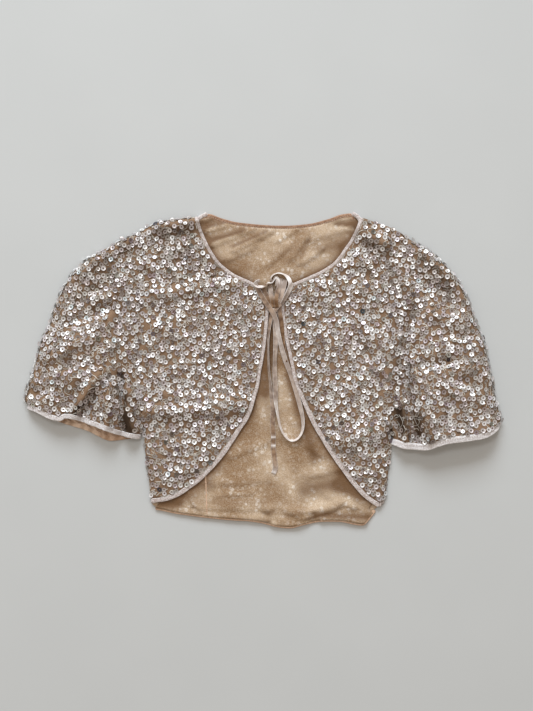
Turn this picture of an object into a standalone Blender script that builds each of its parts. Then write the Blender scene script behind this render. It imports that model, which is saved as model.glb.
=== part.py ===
"""Sequin shrug, laid out flat on a surface with its front up.

A cropped, open-fronted shrug of sequinned mesh with short puffed sleeves, bound edges and
satin ties. X runs across the garment, Y from hem to neck and Z up from the surface.
Left is -X and right is +X. Every piece is a closed wall of cloth: the back lies on the
surface, its lining on the back, the fronts on the lining, and each sleeve is an open tube
with a flat lower half and a puffed upper half.
"""

import math

import bmesh
import bpy
import numpy as np
from mathutils import Matrix, Vector

# Driving dimensions, in millimetres
MM = 0.001
WALL = 1.4
LINING_WALL = 1.2
GAP = 0.3
SEAM_HALF_GAP = 0.22
BINDING_WIDTH = 6.5
BINDING_PROUD = 0.7
BACK_BINDING_WIDTH = 4.5
BINDING_CHAMFER = 0.9
LINING_INSET = 9.0
ROLL = 9.0
EDGE_TOP = 3.1
BASE_RISE = 0.9
RISE_SOFTNESS = 0.4
FOLD_RADIUS = 2.3
SLEEVE_MIN_HEIGHT = 4.6
RIBBON_WIDTH = 6.6
RIBBON_THICKNESS = 0.8
KNOT_SIZE = (17.0, 20.0, 9.0)

# The height of each layer of cloth over the surface
BACK_TOP = WALL
LINING_TOP = BACK_TOP + GAP + LINING_WALL

# Finished edges seen from above, each row a point: x, y
SHOULDER = {
    "left": ((-91, 219), (-102, 217), (-124, 214), (-145, 211), (-159, 205)),
    "right": ((139, 218), (150, 214), (163, 209), (179, 204)),
}
SLEEVE_TOP = {
    "left": ((-159, 205), (-176, 195), (-199, 185), (-219, 174), (-237, 164), (-251, 154),
             (-266, 141), (-281, 117), (-293, 92), (-300, 66), (-310, 48), (-318, 21),
             (-328, -11), (-334, -28), (-338, -48)),
    "right": ((179, 204), (196, 195), (217, 181), (236, 170), (253, 155), (270, 137),
              (283, 117), (294, 94), (302, 69), (311, 48), (318, 21), (324, -9),
              (329, -36), (337, -65), (339, -86)),
}
SLEEVE_HEM = {
    "left": ((-181, -99), (-202, -87), (-226, -77), (-244, -69), (-264, -65), (-278, -66),
             (-287, -70), (-301, -66), (-315, -59), (-332, -55), (-338, -48)),
    "right": ((190, -104), (199, -108), (213, -111), (231, -111), (250, -104), (264, -101),
              (281, -99), (307, -96), (324, -92), (339, -86)),
}
SLEEVE_HEM_UNDER = {
    "left": ((-181, -99), (-193, -93), (-205, -95), (-219, -96), (-232, -89), (-246, -81),
             (-264, -77), (-284, -74), (-306, -65), (-329, -56), (-338, -48)),
    "right": ((190, -104), (199, -108), (213, -108), (231, -107), (250, -101), (264, -98),
              (281, -96), (307, -94), (324, -92), (339, -86)),
}
ARMHOLE = {
    "left": ((-159, 205), (-169, 154), (-175, 100), (-178, 43), (-176, -6), (-172, -46),
             (-168, -82)),
    "right": ((179, 204), (187, 157), (195, 100), (197, 43), (196, -6), (190, -50),
              (183, -84)),
}
SIDE = {
    "left": ((-168, -82), (-165, -120), (-160, -155), (-157, -188)),
    "right": ((183, -84), (183, -115), (179, -143), (176, -167), (171, -196)),
}
FRONT_EDGE = {
    "left": ((-91, 219), (-84, 197), (-77, 181), (-70, 168), (-60, 154), (-45, 141),
             (-31, 133), (-17, 127), (-2, 119), (6, 108), (10, 92), (9, 70), (6, 40), (3, 19),
             (-1, -2), (-4, -23), (-9, -40), (-14, -58), (-21, -72), (-31, -87), (-43, -106),
             (-55, -123), (-70, -140), (-85, -155), (-102, -168), (-119, -179), (-136, -185),
             (-157, -188)),
    "right": ((139, 218), (131, 198), (124, 184), (116, 173), (108, 161), (97, 150),
              (82, 141), (65, 133), (43, 123), (31, 112), (27, 96), (27, 79), (30, 59),
              (34, 36), (40, 9), (45, -15), (53, -36), (61, -56), (71, -77), (84, -99),
              (97, -120), (111, -140), (126, -160), (142, -178), (155, -188), (171, -196)),
}
BACK_NECK = ((-91, 219), (-74, 222), (-57, 214), (-38, 209), (-14, 206), (14, 204),
             (43, 204), (71, 208), (94, 214), (111, 221), (126, 223), (139, 218))
BACK_SIDE = {
    "left": ((-168, -82), (-165, -120), (-160, -155), (-156, -197)),
    "right": ((183, -84), (183, -115), (179, -143), (176, -167), (168, -202)),
}
BACK_HEM = ((-156, -197), (-142, -199), (-124, -203), (-88, -208), (-51, -212), (-10, -215),
            (20, -222), (40, -224), (57, -220), (82, -215), (111, -214), (132, -218),
            (145, -219), (157, -213), (168, -202))

# Where the front's last rows end on its cutaway hem, as a share of that edge's length
HEM_CORNER_SHARE = 0.86

# Soft ridges (height over 0) and troughs (under 0): x0, y0, x1, y1, width, height
BODY_FOLDS = (
    (-173, 100, -17, 128, 13, 1.9),
    (-159, -56, -14, -46, 14, 2.6),
    (-150, 160, -112, 178, 12, 1.5),
    (-120, 70, -60, 92, 14, 0.9),
    (60, 118, 160, 112, 13, 1.7),
    (112, -70, 146, -18, 16, 2.0),
    (150, 52, 170, 34, 16, 1.8),
    (84, 40, 130, 62, 15, 0.9),
    (150, -120, 168, -60, 13, 1.2),
)
LINING_FOLDS = (
    (-91, -194, 9, -196, 12, 1.3),
    (37, -120, 40, -212, 12, 1.2),
    (58, -186, 118, -168, 12, 1.1),
    (-52, 158, 0, 200, 13, 1.2),
    (14, 148, 60, 194, 13, 1.0),
)
SLEEVE_FOLDS = {
    "left": (
        (-278, -70, -219, -4, 11, -6.5),
        (-305, -58, -262, -10, 13, 3.0),
        (-192, -22, -182, -92, 11, -6.0),
        (-258, 136, -209, 122, 11, -3.5),
        (-266, 100, -213, 108, 10, -3.0),
        (-308, 29, -240, 52, 12, 3.0),
        (-300, 6, -250, 22, 11, -3.0),
        (-230, -70, -226, -30, 12, 3.0),
    ),
    "right": (
        (200, -8, 222, -96, 10, -7.5),
        (192, -52, 198, -96, 9, -5.0),
        (247, 146, 256, 93, 11, -3.5),
        (206, 0, 262, 6, 10, -3.0),
        (258, -84, 306, -78, 11, -4.0),
        (240, -96, 236, -40, 11, 3.5),
        (238, 78, 266, 74, 13, 2.5),
        (300, 40, 270, 46, 11, -2.5),
    ),
}
# Each sleeve's puff over the body: at the widest and at the hem
PUFF = {"left": (19.0, 17.0), "right": (21.0, 19.0)}
PUFF_REACH = 0.6
PUFF_BLUNTNESS = 2.6
SEAM_RAMP = 0.14

# The pleats of the sleeve lining that peeks out: share along the hem, width, height
PEEK_PLEATS = ((0.24, 0.04, 1.2), (0.36, 0.04, 1.8), (0.50, 0.05, 1.4))
PEEK_SPAN = (0.08, 0.80)
PEEK_DEPTH = 0.22
PEEK_WALL = 1.0

# Ribbon routes over the lining, each row a point: x, y, height of the underside
TIE_TAIL = ((17, 88, 4.2), (16, 70, 4.0), (16, 50, 3.6), (12, 26, 3.3), (10, 4, 3.3),
            (12, -20, 3.3), (14, -42, 3.3), (15, -70, 3.3), (16, -99, 3.3), (17, -124, 3.3),
            (17, -145, 3.3))
TIE_LOOP = ((22, 88, 6.6), (23, 66, 5.4), (27, 40, 4.2), (33, 16, 3.5), (41, -6, 3.3),
            (49, -32, 3.3), (55, -56, 3.3), (58, -76, 3.3), (55, -93, 3.3), (44, -101, 3.4),
            (33, -94, 3.4), (26, -80, 3.5), (22, -60, 3.8), (20, -40, 4.8), (18, -16, 5.2),
            (17, 6, 5.2), (18, 28, 5.4), (19, 50, 6.6), (17, 70, 6.4), (16, 86, 6.6))
TIE_LEAD = {
    "left": ((2, 111, 7.2), (5, 108, 7.4), (9, 105, 7.4)),
    "right": ((37, 113, 7.2), (34, 110, 7.4), (31, 106, 7.4)),
}
KNOT_CENTRE = (20.0, 102.0)
KNOT_UNDER = 3.6

# Cells in each grid, across and along
FRONT_CELLS = (14, 28)
ARMHOLE_CELLS = 21
SIDE_CELLS = 7
NECK_CELLS = 14
SHOULDER_CELLS = 5
HEM_CELLS = NECK_CELLS + 2 * SHOULDER_CELLS
LINING_ROWS = 24
SLEEVE_RINGS = 14
SLEEVE_TOP_CELLS = 22
SLEEVE_UNDER_CELLS = 13
EDGE_CROWDING = 0.4
PEEK_CELLS = (18, 4)

# Base colour, roughness and metallic value of each cloth
CLOTH = {
    "sequin_mesh": ((0.60, 0.53, 0.47), 0.45, 0.0),
    "lining": ((0.52, 0.38, 0.26), 0.7, 0.0),
    "binding": ((0.72, 0.64, 0.60), 0.6, 0.0),
    "neck_facing": ((0.42, 0.27, 0.17), 0.6, 0.0),
    "ribbon": ((0.66, 0.56, 0.46), 0.4, 0.0),
}


def smooth_step(value):
    """0 below 0, 1 above 1, and an S curve between."""
    t = np.clip(value, 0.0, 1.0)
    return t * t * (3.0 - 2.0 * t)


def resample(points, count):
    """Return count points evenly spaced by length on a polyline."""
    steps = np.linalg.norm(np.diff(points, axis=0), axis=1)
    length = np.concatenate(([0.0], np.cumsum(steps)))
    wanted = np.linspace(0.0, length[-1], count)
    return np.stack([np.interp(wanted, length, points[:, k])
                     for k in range(points.shape[1])], axis=1)


def curve(rows, count):
    """Return count points evenly spaced on the Catmull-Rom curve through rows."""
    knots = np.array(rows, dtype=float)
    before = 2.0 * knots[0] - knots[1]
    after = 2.0 * knots[-1] - knots[-2]
    padded = np.vstack((before, knots, after))
    t = np.linspace(0.0, 1.0, 12, endpoint=False)[:, None]
    spans = []
    for a, b, c, d in zip(padded, padded[1:], padded[2:], padded[3:]):
        linear = (c - a) * t
        square = (2.0 * a - 5.0 * b + 4.0 * c - d) * t ** 2
        cube = (3.0 * b - a - 3.0 * c + d) * t ** 3
        spans.append(0.5 * (2.0 * b + linear + square + cube))
    spans.append(knots[-1:])
    return resample(np.vstack(spans), count)


def length_of(points):
    """Length of a polyline."""
    return float(np.linalg.norm(np.diff(points, axis=0), axis=1).sum())


def normals(points):
    """Unit normals in plan, on the left of the direction of travel."""
    along = np.gradient(points[:, :2], axis=0)
    along = along / np.linalg.norm(along, axis=1)[:, None]
    return np.stack((-along[:, 1], along[:, 0]), axis=1)


def shifted(points, distance):
    """Move a plan curve sideways, to the left of its travel when distance is over 0."""
    return points[:, :2] + normals(points) * distance


def patch(top, bottom, inner, outer):
    """Coons patch in plan: rows run from inner to outer, from the top edge to the bottom."""
    u = np.linspace(0.0, 1.0, len(top))[None, :, None]
    v = np.linspace(0.0, 1.0, len(inner))[:, None, None]
    ruled = (1.0 - v) * top[None] + v * bottom[None]
    across = (1.0 - u) * inner[:, None] + u * outer[:, None]
    corners = ((1.0 - v) * ((1.0 - u) * top[0] + u * top[-1])
               + v * ((1.0 - u) * bottom[0] + u * bottom[-1]))
    return ruled + across - corners


def distance_to(x, y, lines):
    """Distance in plan from each point to the nearest of the polylines."""
    nearest = np.full(np.shape(x), 1e9)
    for line in lines:
        for a, b in zip(line[:-1], line[1:]):
            nearest = np.minimum(nearest, segment_distance(x, y, a[0], a[1], b[0], b[1]))
    return nearest


def segment_distance(x, y, x0, y0, x1, y1):
    """Distance in plan from each point to the segment from (x0, y0) to (x1, y1)."""
    dx = x1 - x0
    dy = y1 - y0
    share = np.clip(((x - x0) * dx + (y - y0) * dy) / (dx * dx + dy * dy), 0.0, 1.0)
    return np.hypot(x - x0 - share * dx, y - y0 - share * dy)


def folds_at(x, y, table):
    """Sum of the soft ridges and troughs in a fold table."""
    total = np.zeros(np.shape(x))
    for x0, y0, x1, y1, width, height in table:
        away = segment_distance(x, y, x0, y0, x1, y1) / width
        total = total + height * np.exp(-away * away)
    return total


def lining_top(x, y):
    """Height of the lining's upper side."""
    return LINING_TOP + np.maximum(folds_at(x, y, LINING_FOLDS), 0.0)


def front_top(x, y, side):
    """Height of a front's outer side: it lies on the lining and rolls down at the seams."""
    lift = BASE_RISE + folds_at(x, y, BODY_FOLDS)
    lift = 0.5 * (lift + np.sqrt(lift * lift + RISE_SOFTNESS ** 2))
    flat = lining_top(x, y) + GAP + WALL + lift
    edges = [np.array(SHOULDER[side]), np.array(SLEEVE_TOP[side]), np.array(SIDE[side])]
    share = np.clip(distance_to(x, y, edges) / ROLL, 0.0, 1.0)
    rounded = np.sqrt(1.0 - (1.0 - share) ** 2)
    return EDGE_TOP + (flat - EDGE_TOP) * rounded


def add_cloth(name, slot, vertices, faces, collection):
    """Make one object from vertices in millimetres, with its own material."""
    mesh = bpy.data.meshes.new(name)
    mesh.from_pydata([Vector(v) * MM for v in vertices], [], faces)
    cage = bmesh.new()
    cage.from_mesh(mesh)
    bmesh.ops.recalc_face_normals(cage, faces=cage.faces)
    cage.to_mesh(mesh)
    cage.free()
    mesh.shade_smooth()
    mesh.set_sharp_from_angle(angle=math.radians(40))
    mesh.materials.append(cloth_material(name, slot))
    made = bpy.data.objects.new(name, mesh)
    collection.objects.link(made)
    return made


def cloth_material(name, slot):
    """Principled material with the slot's colour."""
    colour, roughness, metallic = CLOTH[slot]
    material = bpy.data.materials.new(name)
    material.use_nodes = True
    shader = material.node_tree.nodes["Principled BSDF"]
    shader.inputs["Base Color"].default_value = (*colour, 1.0)
    shader.inputs["Roughness"].default_value = roughness
    shader.inputs["Metallic"].default_value = metallic
    return material


def add_flat(name, slot, outline, under, thickness, collection):
    """Flat cloth with this outline, as a filled 2D curve made a mesh."""
    shape = bpy.data.curves.new(name, "CURVE")
    shape.dimensions = "2D"
    shape.fill_mode = "BOTH"
    shape.extrude = 0.5 * thickness * MM
    spline = shape.splines.new("POLY")
    spline.points.add(len(outline) - 1)
    for point, (x, y) in zip(spline.points, outline):
        point.co = (x * MM, y * MM, 0.0, 1.0)
    spline.use_cyclic_u = True
    drawn = bpy.data.objects.new(name + "_outline", shape)
    collection.objects.link(drawn)
    drawn.location.z = (under + 0.5 * thickness) * MM
    bpy.context.view_layer.update()
    mesh = bpy.data.meshes.new_from_object(drawn.evaluated_get(bpy.context.evaluated_depsgraph_get()))
    mesh.transform(drawn.matrix_world)
    bpy.data.objects.remove(drawn, do_unlink=True)
    weld = bmesh.new()
    weld.from_mesh(mesh)
    bmesh.ops.remove_doubles(weld, verts=weld.verts, dist=0.01 * MM)
    bmesh.ops.recalc_face_normals(weld, faces=weld.faces)
    weld.to_mesh(mesh)
    weld.free()
    mesh.materials.clear()
    mesh.materials.append(cloth_material(name, slot))
    made = bpy.data.objects.new(name, mesh)
    collection.objects.link(made)
    return made


def add_wall(name, slot, plan, top, under, collection):
    """Closed wall over a plan grid, between a grid of upper and one of lower heights."""
    rows, columns = plan.shape[:2]
    upper = np.dstack((plan, top)).reshape(-1, 3)
    lower = np.dstack((plan, under)).reshape(-1, 3)
    count = rows * columns
    faces = []
    for j in range(rows - 1):
        for i in range(columns - 1):
            a = j * columns + i
            quad = (a, a + 1, a + columns + 1, a + columns)
            faces.append(quad)
            faces.append(tuple(count + k for k in reversed(quad)))
    ring = [i for i in range(columns)]
    ring += [j * columns + columns - 1 for j in range(1, rows)]
    ring += [(rows - 1) * columns + i for i in range(columns - 2, -1, -1)]
    ring += [j * columns for j in range(rows - 2, 0, -1)]
    for a, b in zip(ring, ring[1:] + ring[:1]):
        faces.append((b, a, count + a, count + b))
    vertices = np.vstack((upper, lower))
    return add_cloth(name, slot, vertices.tolist(), faces, collection)


def add_loft(name, slot, sections, collection, closed=False):
    """Closed body through sections with equal point counts, capped unless it is a ring."""
    count = len(sections[0])
    vertices = [tuple(p) for section in sections for p in section]
    pairs = list(zip(range(len(sections) - 1), range(1, len(sections))))
    if closed:
        pairs.append((len(sections) - 1, 0))
    faces = []
    for near, far in pairs:
        for i in range(count):
            k = (i + 1) % count
            faces.append((near * count + i, near * count + k,
                          far * count + k, far * count + i))
    if not closed:
        faces.append(tuple(range(count)))
        last = (len(sections) - 1) * count
        faces.append(tuple(last + i for i in range(count)))
    return add_cloth(name, slot, vertices, faces, collection)


def binding_sections(path, side, under, top, width):
    """Six-sided sections of a bound edge, flat and as wide as the tape."""
    half = 0.5 * width
    sections = []
    for (x, y), (nx, ny), low, high in zip(path, side, under, top):
        middle = low + 0.4 * (high - low)
        outline = ((-half, middle), (BINDING_CHAMFER - half, low), (half - BINDING_CHAMFER, low),
                   (half, middle), (half - BINDING_CHAMFER, high), (BINDING_CHAMFER - half, high))
        sections.append([(x + nx * across, y + ny * across, z) for across, z in outline])
    return sections


def inward(side):
    """Side of a front's finished edges on which the cloth lies, seen along their travel."""
    return -1.0 if side == "left" else 1.0


def armhole_seam(side, away):
    """Points down the armhole from the shoulder, moved away from the seam towards +X."""
    return shifted(resample(curve(ARMHOLE[side], 200), ARMHOLE_CELLS + 1), away)


def front_outline(side):
    """The front's plan edges inside its bindings: shoulder, hem end, inner edge, outer edge."""
    sign = inward(side)
    across, along = FRONT_CELLS
    edge = shifted(curve(FRONT_EDGE[side], 240), (BINDING_WIDTH + GAP) * sign)
    split = int(HEM_CORNER_SHARE * len(edge))
    inner = resample(edge[:split], along + 1)
    side_seam = resample(curve(SIDE[side], 60)[2:], along - ARMHOLE_CELLS)
    outer = np.vstack((armhole_seam(side, -SEAM_HALF_GAP * sign), side_seam))
    shoulder = curve(SHOULDER[side], 80)
    start = distance_from(shoulder, inner[0]).argmin() + 4
    shoulder = np.vstack((inner[0], shoulder[start:-4], outer[0]))
    hem = np.vstack((edge[split - 1:-1], outer[-1]))
    return resample(shoulder, across + 1), resample(hem, across + 1), inner, outer


def distance_from(points, target):
    """Distance in plan from each point to one target."""
    return np.linalg.norm(points[:, :2] - target[:2], axis=1)


def add_front(side, collection):
    """One front panel and the tape round its neck, front edge and cutaway hem."""
    shoulder, hem, inner, outer = front_outline(side)
    plan = patch(shoulder, hem, inner, outer)
    top = front_top(plan[..., 0], plan[..., 1], side)
    add_wall("front_" + side, "sequin_mesh", plan, top, top - WALL, collection)
    seam = np.vstack((inner, hem[1:-1]))
    across = normals(seam) * -inward(side)
    path = seam + across * (GAP + 0.5 * BINDING_WIDTH)
    panel = front_top(seam[:, 0], seam[:, 1], side)
    middle = front_top(path[:, 0], path[:, 1], side)
    level = np.maximum(panel, middle)
    sections = binding_sections(path, across, level - WALL, level + BINDING_PROUD,
                                BINDING_WIDTH)
    add_loft("front_binding_" + side, "binding", sections, collection)


def back_outline():
    """Plan edges of the back, run from the left shoulder: neck, right side, hem, left side."""
    bound = BACK_BINDING_WIDTH + GAP
    neck = resample(shifted(curve(BACK_NECK, 120), -bound)[8:-8], NECK_CELLS + 1)
    hem = resample(shifted(curve(BACK_HEM, 160), bound)[2:-3], HEM_CELLS + 1)
    sides = {}
    for side, away in (("left", SEAM_HALF_GAP), ("right", -SEAM_HALF_GAP)):
        low = hem[0] if side == "left" else hem[-1]
        seam = curve(BACK_SIDE[side], 60)[2:]
        seam = seam[seam[:, 1] > low[1] + 3.0]
        seam = resample(np.vstack((seam, low)), SIDE_CELLS)
        sides[side] = np.vstack((armhole_seam(side, away), seam))
    return neck, hem, sides


def inset_edge(points, away, first, last):
    """A seam moved sideways, running between two given ends."""
    moved = shifted(points, away)
    clear = (distance_from(moved, first) > 8.0) & (distance_from(moved, last) > 8.0)
    return np.vstack((first, moved[clear], last))


def add_back(collection):
    """The back, face down on the surface, its lining, and the tape that binds both."""
    neck, hem, sides = back_outline()
    shoulders = [curve(SHOULDER["left"], 40)[::-1], curve(SHOULDER["right"], 40)]
    shoulders[0] = np.vstack((sides["left"][0], shoulders[0][8:-8], neck[0]))
    shoulders[1] = np.vstack((neck[-1], shoulders[1][8:-8], sides["right"][0]))
    shoulders = [resample(line, SHOULDER_CELLS + 1) for line in shoulders]
    outline = np.vstack((shoulders[0][:-1], neck, shoulders[1][1:-1], sides["right"],
                         hem[-2:0:-1], sides["left"][:0:-1]))
    add_flat("back", "sequin_mesh", outline, 0.0, WALL, collection)
    for name, seam, slot, sign in (("neck_binding_back", neck, "neck_facing", 1.0),
                                   ("hem_binding_back", hem, "lining", -1.0)):
        across = normals(seam) * sign
        path = seam + across * (GAP + 0.5 * BACK_BINDING_WIDTH)
        high = lining_top(path[:, 0], path[:, 1]) + 0.5 * GAP
        sections = binding_sections(path, across, np.zeros(len(path)), high, BACK_BINDING_WIDTH)
        add_loft(name, slot, sections, collection)
    inner = shifted(sides["left"], LINING_INSET)
    outer = shifted(sides["right"], -LINING_INSET)
    top_left = inner[0] - np.array((0.0, LINING_INSET))
    top_right = outer[0] - np.array((0.0, LINING_INSET))
    left = resample(inset_edge(sides["left"], LINING_INSET, top_left, hem[0]), LINING_ROWS + 1)
    right = resample(inset_edge(sides["right"], -LINING_INSET, top_right, hem[-1]),
                     LINING_ROWS + 1)
    shoulders = [inset_edge(shoulders[0], -LINING_INSET, top_left, neck[0]),
                 inset_edge(shoulders[1], -LINING_INSET, neck[-1], top_right)]
    shoulders = [resample(line, SHOULDER_CELLS + 1) for line in shoulders]
    top = np.vstack((shoulders[0][:-1], neck, shoulders[1][1:]))
    plan = patch(top, hem, left, right)
    high = lining_top(plan[..., 0], plan[..., 1])
    add_wall("back_lining", "lining", plan, high, high - LINING_WALL, collection)


def ring_shares():
    """Positions round a sleeve's section: the share across and the half it lies on."""
    loop = []
    for i in range(SLEEVE_UNDER_CELLS + 1):
        loop.append((i / SLEEVE_UNDER_CELLS, "under"))
    for i in range(SLEEVE_TOP_CELLS + 1):
        even = 1.0 - i / SLEEVE_TOP_CELLS
        crowded = 0.5 + 0.5 * math.cos(math.pi * i / SLEEVE_TOP_CELLS)
        loop.append((even + EDGE_CROWDING * (crowded - even), "over"))
    return loop


def puff_at(across, along, side):
    """How far the sleeve's upper half stands over the body's height."""
    widest, hem = PUFF[side]
    rise = np.sin(0.5 * np.pi * np.clip(along / PUFF_REACH, 0.0, 1.0))
    late = smooth_step((along - PUFF_REACH) / (1.0 - PUFF_REACH))
    height = rise * (widest + (hem - widest) * late)
    edge = np.clip(1.0 - np.abs(2.0 * across - 1.0) ** PUFF_BLUNTNESS, 0.0, 1.0)
    return height * np.sqrt(edge)


def sleeve_patches(side):
    """Plan grids of a sleeve's upper and lower half, from armhole to hem, underarm to top."""
    count = 41
    sign = inward(side)
    armhole = armhole_seam(side, SEAM_HALF_GAP * sign)[::-1]
    hem = curve(SLEEVE_HEM[side], 200)
    hem_under = curve(SLEEVE_HEM_UNDER[side], 200)
    trim = (BINDING_WIDTH + GAP) * sign
    outer = curve(SLEEVE_TOP[side], 200)
    grids = []
    for edge in (hem, hem_under):
        bound = shifted(edge, trim)
        bound = bound[4:-6]
        keep = distance_from(outer, bound[-1]) > 3.0
        keep &= np.arange(len(outer)) < distance_from(outer, bound[-1]).argmin()
        top = np.vstack((outer[keep], bound[-1]))
        top[0] = armhole[-1]
        inner = np.vstack((armhole[0], bound[0]))
        grids.append(patch(resample(armhole, count), resample(bound, count),
                           resample(inner, count), resample(top, count)))
    return grids


def plan_point(grid, along, across):
    """Read a plan grid at a share along the sleeve and a share across it."""
    rows, columns = grid.shape[:2]
    j = min(max(along, 0.0), 1.0) * (rows - 1)
    i = min(max(across, 0.0), 1.0) * (columns - 1)
    j0 = min(int(j), rows - 2)
    i0 = min(int(i), columns - 2)
    near = grid[j0, i0] * (1.0 - (i - i0)) + grid[j0, i0 + 1] * (i - i0)
    far = grid[j0 + 1, i0] * (1.0 - (i - i0)) + grid[j0 + 1, i0 + 1] * (i - i0)
    return near * (1.0 - (j - j0)) + far * (j - j0)


def ring_outline(side, grids, along):
    """A sleeve's section as distance across, height and half, in order round the tube."""
    over, under = grids
    width = length_of(np.array([plan_point(over, along, k / 20.0) for k in range(21)]))
    inset = FOLD_RADIUS / width
    outline = []
    for across, half in ring_shares():
        if half == "under":
            outline.append(((inset + across * (1.0 - 2.0 * inset)) * width, 0.0, "under"))
            continue
        x, y = plan_point(over, along, across)
        ramp = float(smooth_step(along / SEAM_RAMP)) * math.sqrt(4.0 * across * (1.0 - across))
        top = float(front_top(x, y, side)) + float(puff_at(across, along, side))
        top = max(top + ramp * float(folds_at(x, y, SLEEVE_FOLDS[side])), SLEEVE_MIN_HEIGHT)
        if across in (0.0, 1.0):
            top = FOLD_RADIUS
        outline.append((across * width, top, "over"))
    return outline, width


def wall_inside(outline):
    """Move a section's points inwards by the wall's thickness."""
    points = np.array([(r, z) for r, z, _ in outline])
    before = points - np.roll(points, 1, axis=0)
    after = np.roll(points, -1, axis=0) - points
    before = before / np.linalg.norm(before, axis=1)[:, None]
    after = after / np.linalg.norm(after, axis=1)[:, None]
    left_before = np.stack((-before[:, 1], before[:, 0]), axis=1)
    left_after = np.stack((-after[:, 1], after[:, 0]), axis=1)
    middle = left_before + left_after
    middle = middle / np.linalg.norm(middle, axis=1)[:, None]
    stretch = 1.0 / np.clip((middle * left_before).sum(axis=1), 0.6, 1.0)
    return points + middle * (WALL * stretch)[:, None]


def ring_pair(side, grids, along, beyond=0.0):
    """Outer and inner points of a sleeve's section; beyond moves the hem section outwards."""
    over, under = grids
    outline, width = ring_outline(side, grids, along)
    inner = wall_inside(outline)
    sign = inward(side)
    loops = ([], [])
    for (r, z, half), (r_in, z_in) in zip(outline, inner):
        grid = under if half == "under" else over
        for loop, distance, height in zip(loops, (r, r_in), (z, z_in)):
            across = distance / width
            x, y = plan_point(grid, along, across)
            if beyond:
                ahead = plan_point(grid, along, min(across + 0.03, 1.0))
                behind = plan_point(grid, along, max(across - 0.03, 0.0))
                dx, dy = (ahead - behind) / np.linalg.norm(ahead - behind)
                x += dy * beyond * sign
                y -= dx * beyond * sign
            loop.append((x, y, height))
    return loops


def add_sleeve(side, collection):
    """A sleeve as a tube of cloth, open at the armhole and at the hem."""
    grids = sleeve_patches(side)
    outer = []
    inner = []
    for j in range(SLEEVE_RINGS + 1):
        loops = ring_pair(side, grids, j / SLEEVE_RINGS)
        outer.append(loops[0])
        inner.append(loops[1])
    add_loft("sleeve_" + side, "sequin_mesh", outer + inner[::-1], collection, closed=True)
    near = ring_pair(side, grids, 1.0, 2.0 * SEAM_HALF_GAP)
    far = ring_pair(side, grids, 1.0, GAP + BINDING_WIDTH)
    sections = [near[0], far[0], far[1], near[1]]
    add_loft("sleeve_binding_" + side, "binding", sections, collection, closed=True)


def add_peeking_lining(collection):
    """The lining on the left sleeve's lower half, where it shows past the upper hem."""
    under = sleeve_patches("left")[1]
    columns, rows = PEEK_CELLS
    across = np.linspace(*PEEK_SPAN, columns + 1)
    along = np.linspace(1.0 - PEEK_DEPTH, 1.0, rows + 1)
    plan = np.array([[plan_point(under, v, u) for u in across] for v in along])
    pleats = sum(height * np.exp(-((across - share) / width) ** 2)
                 for share, width, height in PEEK_PLEATS)
    late = smooth_step((along - along[0]) / PEEK_DEPTH)
    top = WALL + GAP + PEEK_WALL + late[:, None] * pleats[None, :]
    add_wall("sleeve_lining_left", "lining", plan, top, top - PEEK_WALL, collection)


def add_knot(collection):
    """The knot of the ties, a rounded lump of wrapped ribbon."""
    cage = bmesh.new()
    bmesh.ops.create_uvsphere(cage, u_segments=16, v_segments=10, radius=0.5)
    width, length, height = KNOT_SIZE
    for vertex in cage.verts:
        x, y, z = vertex.co
        vertex.co = Vector((KNOT_CENTRE[0] + x * width, KNOT_CENTRE[1] + y * length,
                            KNOT_UNDER + (z + 0.5) * height)) * MM
    mesh = bpy.data.meshes.new("tie_knot")
    cage.to_mesh(mesh)
    cage.free()
    mesh.shade_smooth()
    mesh.materials.append(cloth_material("tie_knot", "ribbon"))
    collection.objects.link(bpy.data.objects.new("tie_knot", mesh))


def add_ribbon(name, rows, step, collection):
    """A flat ribbon along a route of its underside."""
    line = curve(rows, 400)
    line = resample(line, max(3, int(length_of(line) / step)))
    across = normals(line)
    half = 0.5 * RIBBON_WIDTH
    sections = []
    for (x, y, z), (nx, ny) in zip(line, across):
        corners = ((-half, 0.0), (half, 0.0), (half, RIBBON_THICKNESS), (-half, RIBBON_THICKNESS))
        sections.append([(x + nx * k, y + ny * k, z + rise) for k, rise in corners])
    add_loft(name, "ribbon", sections, collection)


def centre_in_plan(collection):
    """Move every piece so that the origin lies under the middle of the cloth."""
    cloth = [item for item in collection.objects if not item.name.startswith("tie_")]
    points = np.vstack([[vertex.co[:] for vertex in item.data.vertices] for item in cloth])
    middle = 0.5 * (points.min(axis=0) + points.max(axis=0))
    for item in collection.objects:
        item.data.transform(Matrix.Translation((-middle[0], -middle[1], 0.0)))


def clear_scene():
    """Remove whatever the scene holds."""
    for item in list(bpy.data.objects):
        bpy.data.objects.remove(item, do_unlink=True)


def build():
    """Make the shrug in a collection of its own."""
    clear_scene()
    shrug = bpy.data.collections.new("sequin_shrug")
    bpy.context.scene.collection.children.link(shrug)
    add_back(shrug)
    for side in ("left", "right"):
        add_front(side, shrug)
        add_sleeve(side, shrug)
        add_ribbon("tie_lead_" + side, TIE_LEAD[side], 3.0, shrug)
    add_knot(shrug)
    add_ribbon("tie_tail", TIE_TAIL, 9.0, shrug)
    add_ribbon("tie_loop", TIE_LOOP, 7.0, shrug)
    add_peeking_lining(shrug)
    centre_in_plan(shrug)


build()
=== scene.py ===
# %% [markdown]
# # A sequin shrug, laid out flat with its front up
# The real thing is a cropped, open-fronted jacket of fine net, sewn all over with cup sequins
# and cream thread. It has a sheer lining, bound edges and two satin ties, and it lies on a
# table. Every layer of it is cloth, so every layer is made here as a thin closed shell that
# lies where its solid in the frame lies, and the sequins, threads and stitches are sewn on.

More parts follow.
